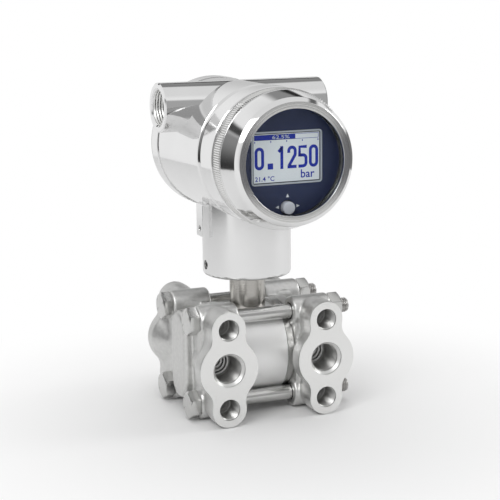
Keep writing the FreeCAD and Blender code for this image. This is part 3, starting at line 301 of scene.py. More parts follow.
def soft_lamp(name, place, size, power):
    """A square lamp that faces the middle of the device, with its place and size in metres."""
    data = bpy.data.lights.new(name, "AREA")
    data.size, data.energy = size, power
    lamp = in_scene(name, data)
    lamp.location = place
    lamp.rotation_euler = (LAMP_AIM - lamp.location).to_track_quat("-Z", "Y").to_euler()
    return lamp


left_lamp = soft_lamp("lamp_left", (-0.70, -0.60, 0.80), 0.6, 4.5)
right_lamp = soft_lamp("lamp_right", (0.95, -0.15, 0.50), 0.35, 2.0)
top_lamp = soft_lamp("lamp_top", (0.05, 0.25, 1.0), 0.8, 2.8)
top_lamp.visible_glossy = False
print("lamps", [lamp.name for lamp in (left_lamp, right_lamp, top_lamp)])

# %% [markdown]
# The floor is a plain pale sheet under the lowest flange pads. It is there for the soft shadow.
# Away from the device it fades into the white of the world, so that no horizon shows.

# %% Pale floor
FLOOR_RADIUS, FLOOR_DROP = 0.63, 0.0001


def plain_mesh(fill, material):
    """A mesh with one finish that a function fills, with its faces outwards."""
    mesh = bpy.data.meshes.new("plain")
    shape = bmesh.new()
    fill(shape)
    bmesh.ops.recalc_face_normals(shape, faces=shape.faces)
    shape.to_mesh(mesh)
    shape.free()
    mesh.materials.append(material)
    return mesh


def floor_disc(shape):
    """A flat disc at height zero."""
    bmesh.ops.create_circle(shape, cap_ends=True, segments=64, radius=FLOOR_RADIUS)


floor_finish, tree, _ = finish("floor_paper", (0.86, 0.86, 0.86), 0.0, 0.8)
x, y = tree.parts(tree.place())[:2]
fade = tree.step(tree.reach(x, y), 0.06, 0.24)
only_seen = tree.node("ShaderNodeLightPath", output=0)
white = tree.node("ShaderNodeEmission", None, {"Color": WHITE, "Strength": 1.0})
tree.end_in_mix(fade * only_seen, tree.shader(), white)
floor = in_scene("floor", plain_mesh(floor_disc, floor_finish))
floor.data.transform(Matrix.Translation((0.0, 0.0, cad_box[0].z - FLOOR_DROP)))
if floor.data.polygons[0].normal.z < 0:
    floor.data.flip_normals()
print("floor at", round(cad_box[0].z / MM, 2), "mm")

# %% [markdown]
# The flanges are investment castings. Their skin is satin, with a grain of a few tenths of a
# millimetre left by the mould, while the lobed faces and the holes are machined. One finish does
# both: the place along the depth tells the machined faces from the skin, because a pattern on
# object coordinates stays on the part when it moves. Deep in the holes, past the threads that are
# made as pieces, it draws rings instead.

# %% Cast flanges with machined faces
def cast_finish():
    """Satin skin, finely milled end faces and ringed holes."""
    made, tree, sockets = finish("cast_stainless_satin", (0.74, 0.74, 0.73), 1.0, 0.36)
    place = tree.place()
    x, y, z = tree.parts(place)
    half_depth = FACE_Y * MM / 2
    depth = tree.maths("ABSOLUTE", y - half_depth)
    machined = tree.step(depth, half_depth - 0.12 * MM, half_depth - 0.04 * MM)
    skin = 1.0 - machined
    off_side = tree.maths("ABSOLUTE", x) - PORT_X * MM
    from_port = tree.reach(off_side, z)
    from_tap = tree.reach(off_side, tree.maths("ABSOLUTE", z) - TAP_Z * MM)
    in_tap, in_port = tree.step(from_tap, 5.15 * MM, 5.05 * MM), tree.step(from_port, 6.95 * MM, 6.8 * MM)
    holes = tree.maths("MAXIMUM", in_tap * skin, in_port * skin)
    grain = tree.noise(place, 1300.0, 3.0)
    mottle = tree.noise(place, 520.0, 3.0)
    sweep = tree.noise(tree.scaled(place, (0.12, 1.0, 1.0)), 5200.0, 1.0)
    skin_tone = tree.blend(mottle, (0.57, 0.57, 0.56, 1), (0.77, 0.77, 0.76, 1))
    colour = tree.blend(machined, skin_tone, (0.82, 0.82, 0.81, 1))
    roughness = (0.34 + mottle * 0.16) * skin + (0.20 + sweep * 0.10) * machined
    turns = tree.maths("FRACT", depth / (1.27 * MM) + 0.1)
    ridges = tree.maths("PINGPONG", turns, 0.5) * 2.0
    relief = grain * 0.085 * skin * (1.0 - holes) + sweep * 0.006 * machined + ridges * 0.8 * holes
    tree.dress(sockets, colour, roughness, relief, 0.6)
    return made


cast_steel = cast_finish()
print("made", cast_steel.name)

# %% [markdown]
# Turned steel carries the fine rings that the tool leaves round its axis. The rings are a noise
# that changes quickly along the axis and hardly at all round it. The cell body turns about X, the
# stem about Z and some of the small parts about Y, so one function takes the axis and makes all
# three. Polishing leaves only a slight haze and faint marks.

# %% Turned and polished steel
def turned_finish(name, axis, colour, roughness, spread, depth, metallic=1.0):
    """Metal with fine rings of some depth in mm round axis 0, 1 or 2, and a roughness that varies."""
    made, tree, sockets = finish(name, colour, metallic, roughness)
    place = tree.place()
    stretch = [14.0, 14.0, 14.0]
    stretch[axis] = 3500.0
    rings = tree.noise(tree.scaled(place, stretch), 1.0, 3.0)
    cloud = tree.noise(place, 120.0)
    tone = rings * 0.5 + cloud * 0.5
    dark = tuple(value * 0.93 for value in colour) + (1.0,)
    light = tuple(min(value * 1.05, 0.95) for value in colour) + (1.0,)
    tree.dress(sockets, tree.blend(tone, dark, light), roughness + (tone - 0.5) * spread, rings, depth)
    return made


def polished_finish(name, gloss=0.05):
    """Nearly a mirror, with a slight haze and faint marks across the depth."""
    made, tree, sockets = finish(name, (0.78, 0.78, 0.78), 1.0, gloss)
    place = tree.place()
    haze = tree.noise(place, 55.0, 1.0)
    marks = tree.noise(tree.scaled(place, (300.0, 2600.0, 300.0)), 1.0, 2.0)
    colour = tree.blend(haze, (0.75, 0.75, 0.75, 1), (0.81, 0.81, 0.81, 1))
    tree.dress(sockets, colour, gloss + haze * 0.05 + marks * 0.02, haze + marks * 0.08, 0.015)
    return made


polished_steel = polished_finish("polished_stainless_mirror")
neck_steel = polished_finish("polished_stainless_neck", 0.13)
cell_steel = turned_finish("turned_stainless_cell", 0, (0.95, 0.95, 0.94), 0.44, 0.10, 0.006, 0.70)
ring_steel = turned_finish("turned_stainless_ring", 0, (0.50, 0.50, 0.49), 0.28, 0.10, 0.008)
stem_steel = turned_finish("turned_stainless_stem", 2, (0.50, 0.485, 0.46), 0.26, 0.12, 0.010)
bolt_steel = turned_finish("turned_fastener_steel", 0, (0.62, 0.62, 0.61), 0.24, 0.12, 0.006)
print("made", [m.name for m in (polished_steel, neck_steel, cell_steel, ring_steel, stem_steel, bolt_steel)])

# %% [markdown]
# The head holds plain moulded and printed parts: a dark panel, a pale display, a grey button,
# black housings and green boards behind. Moulded plastic has a faint grain from its tool and is a
# little uneven in gloss. That is one function with a colour, a gloss and a grain. The table names
# the material slot of the record, then the finish that it gets.

# %% Plastics, rubber and boards
def moulded_finish(name, colour, roughness, grain_size, depth, spread=0.12):
    """A moulded or printed surface, with the size and depth of its grain in mm."""
    made, tree, sockets = finish(name, colour, 0.0, roughness)
    place = tree.place()
    grain = tree.noise(place, 1.0 / (grain_size * MM), 3.0)
    cloud = tree.noise(place, 90.0)
    dark = tuple(value * (1.0 - spread) for value in colour) + (1.0,)
    light = tuple(min(value * (1.0 + spread), 1.0) for value in colour) + (1.0,)
    tone = tree.blend(grain * 0.5 + cloud * 0.5, dark, light)
    tree.dress(sockets, tone, roughness + (cloud - 0.5) * 0.10, grain, depth)
    return made


MOULDED = {
    "panel_film": ("panel_navy_film", (0.010, 0.021, 0.082), 0.55, 0.35, 0.002, 0.10),
    "frame_plastic": ("frame_light_plastic", (0.55, 0.58, 0.62), 0.40, 0.3, 0.004),
    "button_plastic": ("button_grey_plastic", (0.76, 0.77, 0.82), 0.50, 0.25, 0.006),
    "module_plastic": ("module_black_plastic", (0.025, 0.025, 0.027), 0.50, 0.3, 0.01),
    "backlight_plastic": ("backlight_white_plastic", (0.80, 0.81, 0.83), 0.40, 0.3, 0.004),
    "terminal_plastic": ("terminal_green_plastic", (0.07, 0.20, 0.10), 0.45, 0.3, 0.01),
    "header_ceramic": ("header_ceramic", (0.45, 0.40, 0.30), 0.55, 0.2, 0.01),
    "seal_rubber": ("seal_black_rubber", (0.02, 0.02, 0.02), 0.65, 0.4, 0.02),
    "board_laminate": ("board_green_laminate", (0.03, 0.13, 0.06), 0.35, 0.6, 0.006, 0.25),
}
by_slot = {slot: moulded_finish(*row) for slot, row in MOULDED.items()}
terminal_brass = turned_finish("terminal_plated_brass", 1, (0.80, 0.72, 0.50), 0.28, 0.10, 0.01)
diaphragm_steel = turned_finish("diaphragm_bright_steel", 0, (0.80, 0.80, 0.79), 0.16, 0.06, 0.003)
print("made", [made.name for made in by_slot.values()])

# %% [markdown]
# Two finishes need more than that. The cell of the display is pale, with the faint grid of its dots,
# and a faint painted glow of its own colour makes it look evenly lit. The window is a clear pane that
# mirrors a little, more so towards its edge, so it is mixed from a transparent and a mirror shader
# by Fresnel's rule.

# %% Display cell and window
DOT = 0.14 * MM


def lcd_finish():
    """Pale cell of the display, with the faint grid of its dots and a faint painted glow."""
    # painted glow: the cell gives off a faint light of its own, which stands in for light falling on it
    glow = {"Emission Strength": 0.21}
    made, tree, sockets = finish("pale_lcd_painted_glow", (0.66, 0.69, 0.71), 0.0, 0.35, **glow)
    place = tree.place()
    x, _, z = tree.parts(place)
    lines = [tree.step(tree.maths("PINGPONG", part, DOT) / DOT, 0.0, 0.2) for part in (x, z)]
    grid = tree.maths("MINIMUM", *lines)
    tone = tree.blend(tree.noise(place, 45.0), (0.62, 0.66, 0.69, 1), (0.72, 0.75, 0.76, 1))
    tree.feed(sockets["Base Color"], tree.blend(0.86 + grid * 0.14, (0.42, 0.46, 0.52, 1), tone))
    # the painted glow takes the cell's own tone as its colour
    tree.feed(sockets["Emission Color"], tone)
    return made


def glass_finish():
    """Clear window: a faint mirror over what lies behind, stronger towards its edge."""
    made, tree, sockets = finish("window_clear_glass", (0.93, 0.95, 0.96), 1.0, 0.03)
    tree.feed(sockets["Roughness"], 0.02 + tree.noise(tree.place(), 70.0, 3.0) * 0.04)
    clear = tree.node("ShaderNodeBsdfTransparent", None, {"Color": (0.97, 0.98, 0.985, 1.0)})
    facing = tree.node("ShaderNodeFresnel", None, {"IOR": 1.45})
    tree.end_in_mix(facing * 0.28, clear, tree.shader())
    return made


lcd_glass = lcd_finish()
window_glass = glass_finish()
print("made", lcd_glass.name, window_glass.name)

# %% [markdown]
# Each solid that keeps its mesh gets its finish here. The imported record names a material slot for
# every node, so the table from slot to finish covers all of them, and a few nodes that differ in
# turning axis or tone from the rest of their slot are named on their own.

# %% Finishes for the solids that stay
by_slot.update({
    "cast_stainless": cast_steel, "turned_stainless": cell_steel, "polished_stainless": polished_steel,
    "fastener_steel": bolt_steel, "diaphragm_steel": diaphragm_steel, "terminal_brass": terminal_brass,
    "window_glass": window_glass, "lcd_glass": lcd_glass,
})
by_node = {
    "neck_stem": stem_steel, "cell_end_ring_left": ring_steel, "cell_end_ring_right": ring_steel,
    "side_plate": neck_steel,
}
for entry in frame["record"]["subparts"]:
    for slot in frame["nodes"][entry["node"]].material_slots:
        slot.material = by_node.get(entry["node"], by_slot[entry["material_slot"]])

# %% [markdown]
# The cover is a turned part, so its shape is one outline swept round the axis. Real turned edges are
# never knife sharp: a small round on each corner is what catches the light as a thin bright line.
# The first function below rounds the corners of an outline, and the second sweeps an outline round.

# %% Turned pieces from an outline
def soften(outline, radius, steps=3):
    """The closed outline with each corner replaced by a small arc."""
    points = [Vector(point) for point in outline]
    smooth = []
    for before, corner, after in zip(points[-1:] + points[:-1], points, points[1:] + points[:1]):
        reach = min(radius, (before - corner).length * 0.45, (after - corner).length * 0.45)
        start = corner + (before - corner).normalized() * reach
        end = corner + (after - corner).normalized() * reach
        for step in range(steps + 1):
            share = step / steps
            smooth.append(start * (1 - share) ** 2 + corner * 2 * share * (1 - share) + end * share ** 2)
    return smooth


def sweep_round(shape, outline, origin, axis, segments=192):
    """Faces of a closed outline of (distance along the axis, radius), in mm, swept once round."""
    side = axis.orthogonal().normalized()
    other = axis.cross(side)
    rings = []
    for turn in range(segments):
        angle = 2 * math.pi * turn / segments
        out = side * math.cos(angle) + other * math.sin(angle)
        rings.append([shape.verts.new(origin + (axis * point[0] + out * point[1]) * MM) for point in outline])
    for ring, following in zip(rings, rings[1:] + rings[:1]):
        for n in range(len(outline)):
            m = (n + 1) % len(outline)
            if outline[n][1] > 0 or outline[m][1] > 0:
                shape.faces.new((ring[n], ring[m], following[m], following[n]))
    bmesh.ops.remove_doubles(shape, verts=shape.verts, dist=MERGE)


print("outline helpers ready")

# %% [markdown]
# The cover's ring shows two finishes. Its outside is polished with the rest of the head. Its front
# rim is turned across its face, and such fine circles spread each highlight into a light fan above
# and below the window. Here that fan is a painted highlight in the rim's colour: lighter steel above
# and below, darker steel on both sides, and it turns with the cover.

# %% Cover ring with a satin rim
def faced_finish(name):
    """Steel turned across its end face: rings round the head axis, and a painted highlight that is lighter
    above and below.
    """
    made, tree, sockets = finish(name, (0.70, 0.70, 0.69), 1.0, 0.24)
    x, y, z = tree.parts(tree.place())
    up = z - HEAD_AXIS.z
    from_axis = tree.reach(x, up)
    coarse, fine = [
        tree.noise(tree.node("ShaderNodeCombineXYZ", None, {0: from_axis * rate, 1: y * 20.0}), 1.0, detail)
        for rate, detail in ((2400.0, 2.0), (9000.0, 1.0))
    ]
    # painted highlight: the colour is lighter in a fan above and below the axis and darker to both sides
    fan = tree.step(tree.maths("ABSOLUTE", up) / from_axis, 0.25, 0.90)
    tone = tree.blend(fan * 0.85 + fine * 0.15, (0.26, 0.26, 0.27, 1), (0.78, 0.78, 0.77, 1))
    tree.dress(sockets, tone, 0.20 + fine * 0.10, coarse, 0.10)
    return made


COVER_OUTLINE = [
    (30.55, 28.4), (30.55, 31.42), (39.55, 31.42), (39.55, 34.3), (40.95, 34.3), (40.95, 34.45),
    (49.35, 34.45), (49.35, 34.1), (49.85, 34.1), (60.35, 31.4), (62.35, 29.3), (62.35, 26.0),
    (60.35, 26.0), (60.35, 28.4),
]
COVER_ROUND, RIM_OUT = 0.22, 62.0


def fill_cover(shape):
    """The ring of the cover, with softened corners."""
    sweep_round(shape, soften(COVER_OUTLINE, COVER_ROUND), HEAD_AXIS, FRONT, 224)


rim_steel = faced_finish("faced_rim_painted_highlight")
cover = in_scene("cover_shell", plain_mesh(fill_cover, polished_steel))
cover.data.shade_smooth()
cover.data.materials.append(rim_steel)
for face in cover.data.polygons:
    if face.normal.y < -0.98 and face.center.y < NECK_AXIS_Y - RIM_OUT * MM:
        face.material_index = 1
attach(cover, "window_cover")
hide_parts("cover_ring")
print("cover_shell", len(cover.data.polygons), "faces")

# %% [markdown]
# What repeats is made with Geometry Nodes. A tree is built once in the script, with named inputs
# for its sizes. Its result is then turned into a plain mesh, because an instance would be lost when
# the model is exported. The class below does that for every tree: it sets the inputs by their
# identifiers, evaluates, keeps the mesh and drops the modifier. Threads and hexagons are both a flat
# sheet that is bent round an axis, so it can do that too.

# %% Run a tree of Geometry Nodes and keep a plain mesh
def plain_result(host, material):
    """What an object is after its modifiers, as a plain mesh with one material."""
    plain = bpy.data.meshes.new_from_object(host.evaluated_get(bpy.context.evaluated_depsgraph_get()))
    plain.materials.clear()
    plain.materials.append(material)
    plain.polygons.foreach_set("material_index", [0] * len(plain.polygons))
    return plain


class Grower(Tree):
    """A Geometry Nodes tree with named inputs, which ends in real faces with a material."""

    def __init__(self, name, sizes):
        super().__init__(bpy.data.node_groups.new(name, "GeometryNodeTree"))
        ends = self.group.interface
        ends.new_socket(name="Geometry", in_out="OUTPUT", socket_type="NodeSocketGeometry")
        self.keys = {}
        for size, kind in {**sizes, "Material": "Material"}.items():
            made = ends.new_socket(name=size, in_out="INPUT", socket_type="NodeSocket" + kind)
            self.keys[size] = made.identifier
        self.start = self.group.nodes.new("NodeGroupInput")

    def size(self, name):
        """The wire from one of the named inputs."""
        return Wire(self, self.start.outputs[name])

    def flat_sheet(self, columns, rows):
        """A flat grid, with each point's share of the way round and its row."""
        grid = {"Size X": 1.0, "Size Y": 1.0, "Vertices X": columns, "Vertices Y": rows}
        sheet = self.node("GeometryNodeMeshGrid", None, grid)
        x, y = self.parts(self.node("GeometryNodeInputPosition"))[:2]
        return sheet, x + 0.5, self.maths("ROUND", (y + 0.5) * (rows - 1.0))

    def finish_bent(self, sheet, angle, radius, height):
        """Bend a flat sheet round Z, merge its seam and end the tree."""
        bent = {0: self.maths("COSINE", angle) * radius, 1: self.maths("SINE", angle) * radius, 2: height}
        place = self.node("ShaderNodeCombineXYZ", None, bent)
        shaped = self.node("GeometryNodeSetPosition", None, {"Geometry": sheet, "Position": place})
        merged = {"Geometry": shaped, "Distance": MERGE}
        self.finish_with(self.node("GeometryNodeMergeByDistance", None, merged))

    def finish_with(self, geometry):
        """End the tree in real faces with the material."""
        real = self.node("GeometryNodeRealizeInstances", None, {0: geometry})
        coloured = {"Geometry": real, "Material": self.size("Material")}
        end = self.group.nodes.new("NodeGroupOutput").inputs[0]
        self.feed(end, self.node("GeometryNodeSetMaterial", None, coloured))

    def grow(self, material, sizes):
        """A plain mesh made with these sizes."""
        host = in_scene("host", bpy.data.meshes.new("host"))
        made = host.modifiers.new("grow", "NODES")
        made.node_group = self.group
        for name, value in {**sizes, "Material": material}.items():
            made[self.keys[name]] = value
        plain = plain_result(host, material)
        host.modifiers.remove(made)
        bpy.data.objects.remove(host)
        return plain


print("a tree can be grown")

# %% [markdown]
# The other two helpers turn grown meshes into finished pieces. One puts a copy of a mesh in its
# place. The other joins several meshes into one object on one body of the device, whose origin
# stays at zero, and shades it smooth except at its sharp edges.

# %% Put meshes in place and join them
def placed(mesh, origin, axis, turn=0.0):
    """A copy of a mesh that was made along Z from zero, put at origin along axis. Sizes in metres."""
    copy = mesh.copy()
    facing = axis.to_track_quat("Z", "Y").to_matrix().to_4x4()
    copy.transform(Matrix.Translation(origin) @ facing @ Matrix.Rotation(turn, 4, "Z"))
    return copy


def piece_from(name, meshes, body, replaced=(), smooth_angle=30.0):
    """One object on one body from several plain meshes, each already in its place."""
    joined, finishes = bmesh.new(), []
    for mesh in meshes:
        known = len(joined.faces)
        joined.from_mesh(mesh)
        if mesh.materials[0] not in finishes:
            finishes.append(mesh.materials[0])
        for face in list(joined.faces)[known:]:
            face.material_index = finishes.index(mesh.materials[0])
    loose = [edge for edge in joined.edges if not edge.link_faces]
    bmesh.ops.delete(joined, geom=loose, context="EDGES")
    bmesh.ops.recalc_face_normals(joined, faces=joined.faces)
    whole = bpy.data.meshes.new(name)
    joined.to_mesh(whole)
    joined.free()
    for material in finishes:
        whole.materials.append(material)
    whole.shade_smooth()
    whole.set_sharp_from_angle(angle=math.radians(smooth_angle))
    made = in_scene(name, whole)
    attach(made, body)
    if replaced:
        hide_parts(*replaced)
    print(name, len(whole.polygons), "faces")
    return made


print("geometry helpers ready")

# %% [markdown]
# The knurl round the cover is a band of fine ridges for the fingers. One ridge is a slim
# four-sided bar. The tree puts a copy of it on every point of a circle, turned to face outwards.

# %% Knurl of the cover
BAND_OUT = 45.15
knurl_tree = Grower("knurl", {"Count": "Int", "Radius": "Float", "Ridge Radius": "Float", "Length": "Float"})
size = knurl_tree.size
round_cover = {"Vertices": size("Count"), "Radius": size("Radius")}
circle = knurl_tree.node("GeometryNodeMeshCircle", None, round_cover)
bar = {"Vertices": 4, "Radius": size("Ridge Radius"), "Depth": size("Length")}
ridge = knurl_tree.node("GeometryNodeMeshCylinder", {"fill_type": "TRIANGLE_FAN"}, bar)
outwards = {"Vector": knurl_tree.node("GeometryNodeInputPosition")}
facing = knurl_tree.node("FunctionNodeAlignRotationToVector", {"axis": "X"}, outwards)
on_points = {"Points": circle, "Instance": ridge, "Rotation": facing}
knurl_tree.finish_with(knurl_tree.node("GeometryNodeInstanceOnPoints", None, on_points))
knurl_steel = turned_finish("knurled_steel", 1, (0.62, 0.62, 0.61), 0.26, 0.08, 0.004)
knurl_sizes = {"Count": 190, "Radius": 34.36 * MM, "Ridge Radius": 0.42 * MM, "Length": 8.0 * MM}
band = placed(knurl_tree.grow(knurl_steel, knurl_sizes), HEAD_AXIS + FRONT * BAND_OUT * MM, FRONT)
piece_from("cover_knurl", [band], "window_cover")

# %% [markdown]
# A screw thread is a surface whose radius rises and falls along the axis, and shifts by one pitch
# with each turn. The tree starts from a flat grid and bends it: one direction becomes the angle,
# the other the height, and the radius follows from both. The first row and the last two lie at an
# edge radius and the last one goes back to the start, so that the thread is a closed sleeve. The
# same tree makes the thread ends of the bolts and, with a negative depth, the threads inside holes.

# %% One tree for every thread
lengths = dict.fromkeys(("Radius", "Depth", "Pitch", "Length", "Edge Radius"), "Float")
thread_tree = Grower("thread", {**lengths, "Around": "Int", "Rows": "Int"})
maths, size = thread_tree.maths, thread_tree.size
sheet, part_round, row = thread_tree.flat_sheet(size("Around"), size("Rows"))
along = {"Value": (row - 1.0) / (size("Rows") - 4.0)}
part_along = thread_tree.node("ShaderNodeClamp", None, along)
height = part_along * size("Length")
last_row = maths("GREATER_THAN", row, size("Rows") - 1.5)
at_edge = maths("MAXIMUM", maths("LESS_THAN", row, 0.5), maths("GREATER_THAN", row, size("Rows") - 2.5))
phase = maths("FRACT", height / size("Pitch") + part_round + 8.0)
from_end = maths("MINIMUM", part_along, 1.0 - part_along) * size("Length")
fade_in = maths("MINIMUM", 1.0, from_end / (size("Pitch") * 0.6))
rise = maths("MINIMUM", 1.0, maths("PINGPONG", phase, 0.5) * 2.4)
radius = size("Radius") - size("Depth") * (1.0 - rise * fade_in)
radius = radius * (1.0 - at_edge) + size("Edge Radius") * at_edge
thread_tree.finish_bent(sheet, part_round * (2 * math.pi), radius, height * (1.0 - last_row))


def thread_mesh(material, origin, axis, radius, depth, pitch, length, edge_radius, around=56):
    """A threaded sleeve from origin along axis, with its sizes in mm."""
    in_mm = {"Radius": radius, "Depth": depth, "Pitch": pitch, "Length": length, "Edge Radius": edge_radius}
    sizes = {name: value * MM for name, value in in_mm.items()}
    sizes.update({"Around": around, "Rows": int(length / pitch * 8) + 4})
    return placed(thread_tree.grow(material, sizes), origin, axis)


print("thread tree with inputs", list(thread_tree.keys))

# %% [markdown]
# A hexagon head or nut is a sheet bent round in the same way. Its seven rows give the section:
# bore, lower face, two rows for the side, upper face, bore, and back to the start. The side's
# distance from the axis follows the hexagon, and the chamfer is a cone of 30 degrees, so where a
# corner stands out further the cone takes more away. That is what draws the curved arcs at the
# corners of every real nut.

# %% One tree for every hexagon
THIRTY = math.radians(30.0)
CORNER_ROUND = 0.16
lengths = dict.fromkeys(("Flats", "Height", "Bore", "Face Radius", "Lower Chamfer"), "Float")
hexagon_tree = Grower("hexagon", lengths)
maths, size = hexagon_tree.maths, hexagon_tree.size
sheet, part_round, row = hexagon_tree.flat_sheet(97, 7)
angle = part_round * (2 * math.pi)
from_flat = THIRTY - maths("PINGPONG", angle, THIRTY)
side_radius = size("Flats") * 0.5 / maths("COSINE", from_flat)
taken = maths("MAXIMUM", 0.0, side_radius - size("Face Radius")) * math.tan(THIRTY)


def on_rows(*numbers):
    """1 on the named rows of the sheet, 0 on the others."""
    chosen = [hexagon_tree.maths("COMPARE", row, float(number), 0.4) for number in numbers]
    return sum(chosen[1:], chosen[0])


flat_below = maths("LESS_THAN", size("Lower Chamfer"), 0.5)
lower_radius = side_radius * flat_below + size("Face Radius") * (1.0 - flat_below)
radius = size("Bore") * on_rows(0, 5, 6) + lower_radius * on_rows(1) + side_radius * on_rows(2, 3)
radius = radius + size("Face Radius") * on_rows(4)
height = taken * (1.0 - flat_below) * on_rows(2) + (size("Height") - taken) * on_rows(3)
height = height + size("Height") * on_rows(4, 5)
hexagon_tree.finish_bent(sheet, angle, radius, height)


def hexagon_mesh(material, origin, axis, flats, height, bore, lower_chamfer):
    """A hexagon with two corners up and down, from origin along a level axis, with its sizes in mm."""
    in_mm = {"Flats": flats, "Height": height, "Bore": bore, "Face Radius": flats * 0.475}
    sizes = {name: value * MM for name, value in in_mm.items()}
    plain = hexagon_tree.grow(material, {**sizes, "Lower Chamfer": lower_chamfer})
    shape = bmesh.new()
    shape.from_mesh(plain)
    bmesh.ops.dissolve_degenerate(shape, dist=MERGE, edges=shape.edges)
    bmesh.ops.recalc_face_normals(shape, faces=shape.faces)
    closed = [edge for edge in shape.edges if len(edge.link_faces) == 2]
    sharp = [edge for edge in closed if edge.calc_face_angle(0.0) > math.radians(35)]
    rounding = {"offset": CORNER_ROUND * MM, "segments": 2, "profile": 0.6, "clamp_overlap": True}
    bmesh.ops.bevel(shape, geom=sharp, affect="EDGES", **rounding)
    shape.to_mesh(plain)
    shape.free()
    return placed(plain, origin, axis, math.radians(90.0))


print("hexagon tree with inputs", list(hexagon_tree.keys))

# %% [markdown]
# Four long bolts hold the flanges together. Each has a hexagon head on the left, a plain turned
# shank and a rolled thread that stands out past its nut on the right. Rolled threads look darker
# than turned steel, because their flanks shade each other, and that shade is painted into the
# thread's colour as a darker steel.

# %% Bolts and nuts
BOLT_OUT, BOLT_UP = 19.6 * MM, 22.0 * MM
SEAT, THREAD_START, FLATS, HEAD_HEIGHT, NUT_HEIGHT = 37.0, 40.0, 13.0, 5.3, 6.5
BOLT_PLACES = [
    Vector((0.0, NECK_AXIS_Y + side * BOLT_OUT, level * BOLT_UP)) for side in (-1, 1) for level in (1, -1)
]
SHANK = [
    (-SEAT, 0.0), (-SEAT, 3.9), (THREAD_START, 3.9), (THREAD_START, 3.1), (48.5, 3.1), (49.05, 2.6),
    (49.05, 0.0),
]
# painted shade: the thread's steel is darker in colour for the shade between its flanks
thread_steel = turned_finish("rolled_thread_painted_shade", 0, (0.55, 0.54, 0.53), 0.30, 0.12, 0.004)
hex_steel = moulded_finish("forged_hexagon_steel", (0.60, 0.60, 0.59), 0.22, 0.22, 0.008, 0.06)
hex_steel.node_tree.nodes["Principled BSDF"].inputs["Metallic"].default_value = 1.0
bolt_parts, nut_parts = [], []
for place in BOLT_PLACES:
    left_seat, right_seat = place - RIGHT * SEAT * MM, place + RIGHT * SEAT * MM
    thread_start = place + RIGHT * THREAD_START * MM
    bolt_parts.append(hexagon_mesh(hex_steel, left_seat, -RIGHT, FLATS, HEAD_HEIGHT, 0.0, 0.0))
    bolt_parts.append(plain_mesh(lambda shape: sweep_round(shape, SHANK, place, RIGHT, 72), bolt_steel))
    bolt_parts.append(thread_mesh(thread_steel, thread_start, RIGHT, 3.9, 0.72, 1.25, 8.8, 2.0, 48))
    nut_parts.append(hexagon_mesh(hex_steel, right_seat, RIGHT, FLATS, NUT_HEIGHT, 3.5, 1.0))
piece_from("bolts_dressed", bolt_parts, "measuring_cell", ["flange_bolts"])
piece_from("nuts_dressed", nut_parts, "measuring_cell", ["flange_nuts"])

# %% [markdown]
# A casting has no sharp corners: metal doesn't fill them, and the pattern is rounded so that it
# leaves the mould. The exact solid of a flange is all sharp intersections, so it is cast again here
# in four moves. Its holes are filled and its faces get some stock. A voxel remesh turns it into one
# even skin, smoothing rounds every corner, and a boolean then machines the faces and the holes,
# which are the only crisp edges on the real part as well. First come the blank and the tools. Each
# plug and each tool is an outline of (depth, radius) in mm, swept round its hole's axis.

# %% The blank of a flange and the tools that cut it
STOCK, BLOCK_DEPTH = 2.0, 10.0
BOLT_HOLE, LINK_RADIUS = 4.5, 3.2
TAP_PLUG = [(0, 0), (0, 5.6), (18.0, 5.6), (18.0, 0)]
PORT_PLUG = [(0, 0), (0, 9.2), (4.6, 9.2), (4.6, 7.4), (23.6, 7.4), (23.6, 3.8), (44.0, 3.8), (44.0, 0)]
LINK_PLUG = [(0, 0), (0, 2.6), (9.0, 2.6), (9.0, 0)]
BOLT_PLUG = [(0, 0), (0, 5.2), (21.5, 5.2), (21.5, 0)]
PORT_TOOL = [
    (0, 0), (0, 8.7), (1.3, 8.7), (2.5, 7.3), (17.5, 7.3), (21.5, LINK_RADIUS), (34.0, LINK_RADIUS),
    (34.0, 0),
]
BOLT_TOOL = [(0, 0), (0, BOLT_HOLE), (12.0, BOLT_HOLE), (12.0, 0)]


def add_rod(shape, x, y, z, axis, outline, segments=48):
    """A turned plug or tool along an axis, from a point in mm."""
    sweep_round(shape, outline, Vector((x, y, z)) * MM, axis, segments)


def fill_flange(shape):
    """The right flange with its holes filled and its machined faces left thick."""
    shape.from_mesh(frame["nodes"]["process_flange_right"].data)
    bmesh.ops.remove_doubles(shape, verts=shape.verts, dist=1e-6)
    for axis, level in ((FRONT, 0.0), (BACK, FACE_Y * MM)):
        facing = [face for face in shape.faces if face.normal.dot(axis) > 0.99]
        pad = [face for face in facing if abs(face.calc_center_median().y - level) < 0.05 * MM]
        grown = bmesh.ops.extrude_face_region(shape, geom=pad)["geom"]
        moved = [part for part in grown if isinstance(part, bmesh.types.BMVert)]
        bmesh.ops.translate(shape, vec=axis * STOCK * MM, verts=moved)
    for y, axis in ((-STOCK, BACK), (FACE_Y + STOCK, FRONT)):
        for z in (-TAP_Z, TAP_Z):
            add_rod(shape, PORT_X, y, z, axis, TAP_PLUG)
        add_rod(shape, PORT_X, y, 0.0, axis, PORT_PLUG)
    add_rod(shape, 17.8, NECK_Y, 0.0, RIGHT, LINK_PLUG)
    for place in BOLT_PLACES:
        add_rod(shape, 15.5, place.y / MM, place.z / MM, RIGHT, BOLT_PLUG)


def face_tools(shape):
    """What the milling cutter takes away in front of the front face and behind the rear one."""
    block = Matrix.Diagonal((0.06, BLOCK_DEPTH * MM, 0.09, 1.0))
    for y in (-BLOCK_DEPTH / 2, FACE_Y + BLOCK_DEPTH / 2):
        middle = Matrix.Translation((PORT_X * MM, y * MM, 0.0))
        bmesh.ops.create_cube(shape, size=1.0, matrix=middle @ block)


